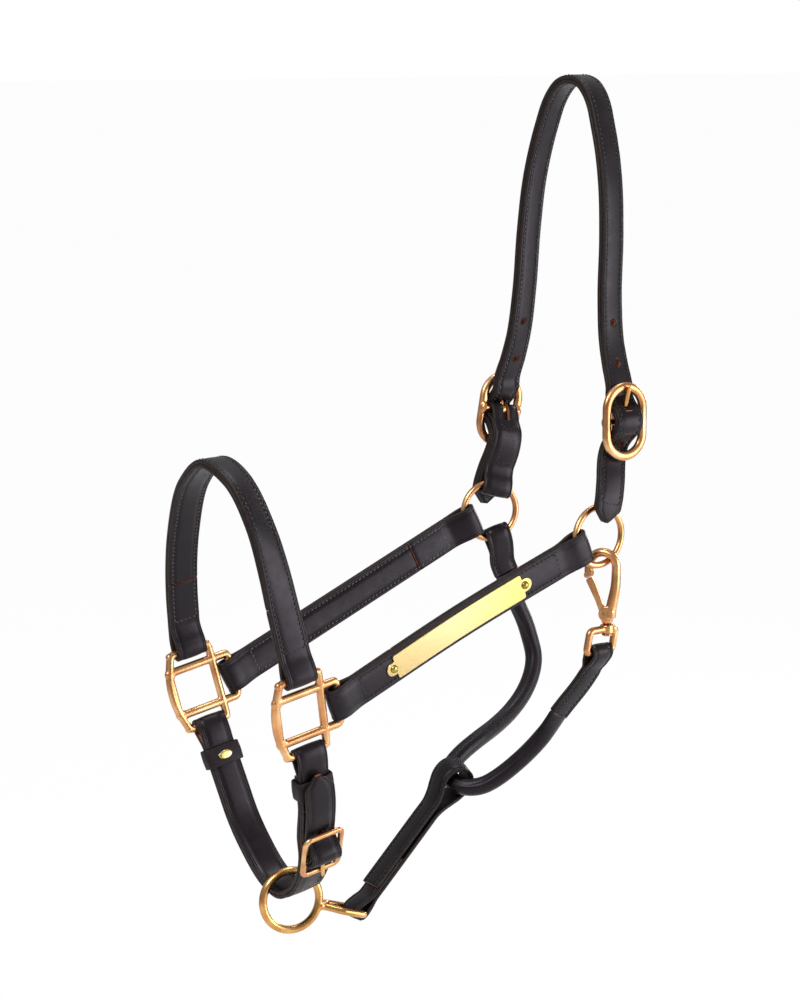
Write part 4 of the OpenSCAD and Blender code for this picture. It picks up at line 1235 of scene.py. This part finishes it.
# Gate: a tapered lever that closes on the nose.
gate_outline = [
    (-4, -42), (-1, -44.4), (2, -42.6), (2.3, -40), (1.1, -38.6), (-2.8, -34), (-8.6, -19.5), (-9.9, -17.2),
    (-12.4, -17.9), (-13.9, -18.7), (-14.1, -20), (-7.6, -33),
]
gx, gz = (sum(v) / len(gate_outline) for v in zip(*gate_outline))
gate = []
for h, k in ((-1.5, 0.86), (-1.1, 1.0), (1.1, 1.0), (1.5, 0.86)):
    kx, kz = 1 - (1 - k) * 0.35, 1 - (1 - k) * 0.12
    gate += [S @ V(gx + (x - gx) * kx, h, gz + (z - gz) * kz) for x, z in gate_outline]
make("snap_gate_lever", gate, shell(4, len(gate_outline)), [BRASS], "gate_body", "brass", ["snap_gate"],
     flat=True)
heads = [ball(V(-1, y, -41), 1.2, 0.5, 1.2) for y in (-4.1, 4.1)]
make("snap_pin_rivet", *joined([across((-1, -41), 2.4, 8.2), *heads], S), [RIVET], "snap_body", "brass",
     ["snap_pin"])

# The swivel eye: the line of its bar, the bar's middle, its wire, and the hub round the stem
eye_e, eye_bar_c, eye_wire, hub_h = V(cosd(9), sind(9), 0), V(-24.5, -64.3, -379), 4.4, 5.6
swivel_c = ring_low + (swivel_h + hook_side) * hook_h
hub_c = V(swivel_c.x, swivel_c.y, ring_low.z + apex_z + hub_z + hub_h / 2)
drop = eye_bar_c - hub_c
down = onto(eye_e, drop)
lean, low_d, hw = drop @ eye_e, drop @ down, 12.2
columns = eye_e, -down, eye_e.cross(-down), hub_c
F = Matrix([[v[i] for v in columns] for i in range(3)] + [[0, 0, 0, 1]])
w = wire([[lean - hw, -low_d, 3], [lean + hw, -low_d, 3], [0.7 * lean + hw, 0, 3], [0.7 * lean - hw, 0, 3]],
         eye_wire + 0.9, eye_wire + 0.6)
hub = cyl(hub_c - Z * hub_h / 2, hub_c + Z * hub_h / 2, 4.7, 28)
ob = cast("snap_eye_cast", [joined([w], F), hub], None, "snap_eye", 0.4)
drill(ob, cyl(hub_c - Z * 6, hub_c + Z * 6, stem_d / 2 + clear, 28))

rn = (throat_route[N] - throat_route[N - 1]).normalized()
low = throat_route[N] + butt * rn
d = onto(eye_e, low - eye_bar_c)
turn = fold(eye_bar_c, d, d.cross(-eye_e), eye_wire / 2 + clear + thin_ply / 2 + 2 * butt)
s = [(eye_bar_c + V(-3.6, 2.8, -11.5), -eye_e), (V(-34, -57.2, -403.5), -near_tab_n),
     (low + 8 * rn, -near_tab_n), (low, -near_tab_n)]
tab("near_throat_tab", eased(smooth(s, 5), 10), turn)

# ---- name plate
# Thickness, and where the plate starts along the cheek; its round ears and the run up to its full width
plate_t, plate_from, ear_r, shoulder = 1, 24, 4.5, 8.2
plate_run = shift(smooth(cheek_mid(near), 2), -ply - seam / 2 - seam - plate_t / 2)
pl = lengths(plate_run)
stops = [0, 0.4, 1, 2, 3.2, ear_r, 6.4, 7.0, 7.15, 7.5, shoulder]
middle = [shoulder + (plate_l - 2 * shoulder) * k / 40 for k in range(1, 40)]
marks = stops + middle + [plate_l - x for x in reversed(stops)]


def plate_half(x):
    x = min(x, plate_l - x)
    if x < ear_r:
        return max(0.6, math.sqrt(max(0.0, ear_r**2 - (ear_r - x) ** 2)))
    if x <= 7.0:
        return ear_r
    return plate_w / 2 - (1.2 if x < 7.2 else 0.35 if x < 7.6 else 0)


plate_section = [
    (-1, -0.5), (1, -0.5), (1, 0.2), (0.96, 0.5), (0.5, 0.54), (0, 0.56), (-0.5, 0.54), (-0.96, 0.5),
    (-1, 0.2),
]
verts, uvs = [], []
for x in marks:
    p, t, b, m = station(plate_run, pl, plate_from + x)
    for sx, sy in plate_section:
        off = sx * plate_half(x)
        verts.append(p + b * off - m * sy * plate_t)
        uvs.append((x / plate_l, 0.5 + off / plate_l))
make("name_plate_sheet", verts, shell(len(marks), len(plate_section)), [PLATE], HEAD, "yellow_brass",
     ["name_plate"], uvs=uvs, flat=True)
rivets = []
dome = [(2.75, 0.0), (2.75, 0.3), (2.5, 0.85), (1.9, 1.4), (1.1, 1.75), (0.3, 1.9)]
for x in (plate_from + 5.5, plate_from + plate_l - 5.5):
    p, t, b, m = station(plate_run, pl, x)
    verts = [v for r, h in dome for v in circle(p - m * (plate_t / 2 + 0.05 + h), b, t, r, 24)]
    rivets.append((verts, shell(len(dome), 24)))
make("plate_rivet_domes", *joined(rivets), [RIVET], HEAD, "yellow_brass", ["plate_rivets"])

# CAD nodes that stay as they are.
nodes["throat_core"].data.materials.clear()
nodes["throat_core"].data.materials.append(CORD)

# ---- stage, light and camera
scene = bpy.context.scene


def maths(tree, operation, a, b):
    n = node(tree, "Math", a, b)
    n.operation = operation
    return n.outputs[0]


def mixed(tree, fac, lit, kind, output):
    """Shows white by fac and the lit shader otherwise."""
    white = node(tree, kind, Color=(1, 1, 1, 1))
    n = node(tree, "MixShader", fac, lit.outputs[0], white.outputs[0])
    feed(tree.nodes[output], Surface=n.outputs[0])


# The floor takes shadows but is nearly white to the camera.
floor_z, floor_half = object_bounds()[0].z - 0.25, 40
corners = [(x * floor_half, y * floor_half, floor_z) for x, y in ((-1, -1), (1, -1), (1, 1), (-1, 1))]
me = bpy.data.meshes.new("floor")
me.from_pydata(corners, [], [(0, 1, 2, 3)])
pale = Mat("pale_floor").put(Base_Color=(0.9, 0.9, 0.9, 1), Roughness=0.9)
rays = node(pale.tree, "LightPath").outputs
seen = maths(pale.tree, "MULTIPLY", rays["Is Camera Ray"], 0.97)
mixed(pale.tree, seen, pale.b, "Emission", "Material Output")
me.materials.append(pale.m)
shown("floor", me)

# The world is white to the camera, a grey ramp from the ground up to light the piece, and a mix of
# the two in reflections.
world = bpy.data.worlds.new("studio")
scene.world = world
world.use_nodes = True
tree = world.node_tree
sky = node(tree, "TexCoord").outputs["Generated"]
height = node(tree, "SeparateXYZ", Vector=sky).outputs["Z"]
rise = node(tree, "MapRange", Value=height, From_Min=-1).outputs["Result"]
grey = ramp(tree, rise, (0.25, (0.2, 0.2, 0.21, 1)), (0.85, (0.95, 0.95, 0.97, 1)))
bg = feed(tree.nodes["Background"], Color=grey, Strength=0.42)
rays = node(tree, "LightPath").outputs
glossy = maths(tree, "MULTIPLY", rays["Is Glossy Ray"], 0.26)
seen = maths(tree, "MAXIMUM", rays["Is Camera Ray"], glossy)
mixed(tree, seen, bg, "Background", "World Output")

# The camera looks at the middle of the piece from the near side of the front, a little above it.
centre = V(-143, 0, -273.7) * MM
az, elv = -33, 9
back = V(sind(az) * cosd(elv), -cosd(az) * cosd(elv), sind(elv))
right = V(cosd(az), sind(az), 0)
up = back.cross(right)


def area(name, offset, size, power):
    """A disk light at (right, up, towards the camera) in metres from the middle, facing it."""
    ld = bpy.data.lights.new(name, "AREA")
    ld.shape, ld.size, ld.energy = "DISK", size, power
    ob = shown(name, ld)
    ob.location = centre + right * offset[0] + up * offset[1] + back * offset[2]
    ob.rotation_euler = (ob.location - centre).to_track_quat("Z", "Y").to_euler()


area("key", (-0.8, 1.1, 1.5), 0.9, 38)
area("side", (1.8, -0.15, 0.45), 1.5, 33)
area("top", (0.3, 2.0, -0.2), 0.8, 16)
area("rim", (1.2, 0.6, -1.6), 0.8, 14)

cam = bpy.data.cameras.new("camera")
cam.lens, cam.sensor_width, cam.sensor_fit = 108, 36, "AUTO"
cam.clip_start, cam.clip_end = 0.05, 100
co = shown("camera", cam)
co.location = centre + back * 2.0
co.rotation_mode = "QUATERNION"
co.rotation_quaternion = back.to_track_quat("Z", "Y")
scene.camera = co
scene.view_settings.view_transform = "Standard"
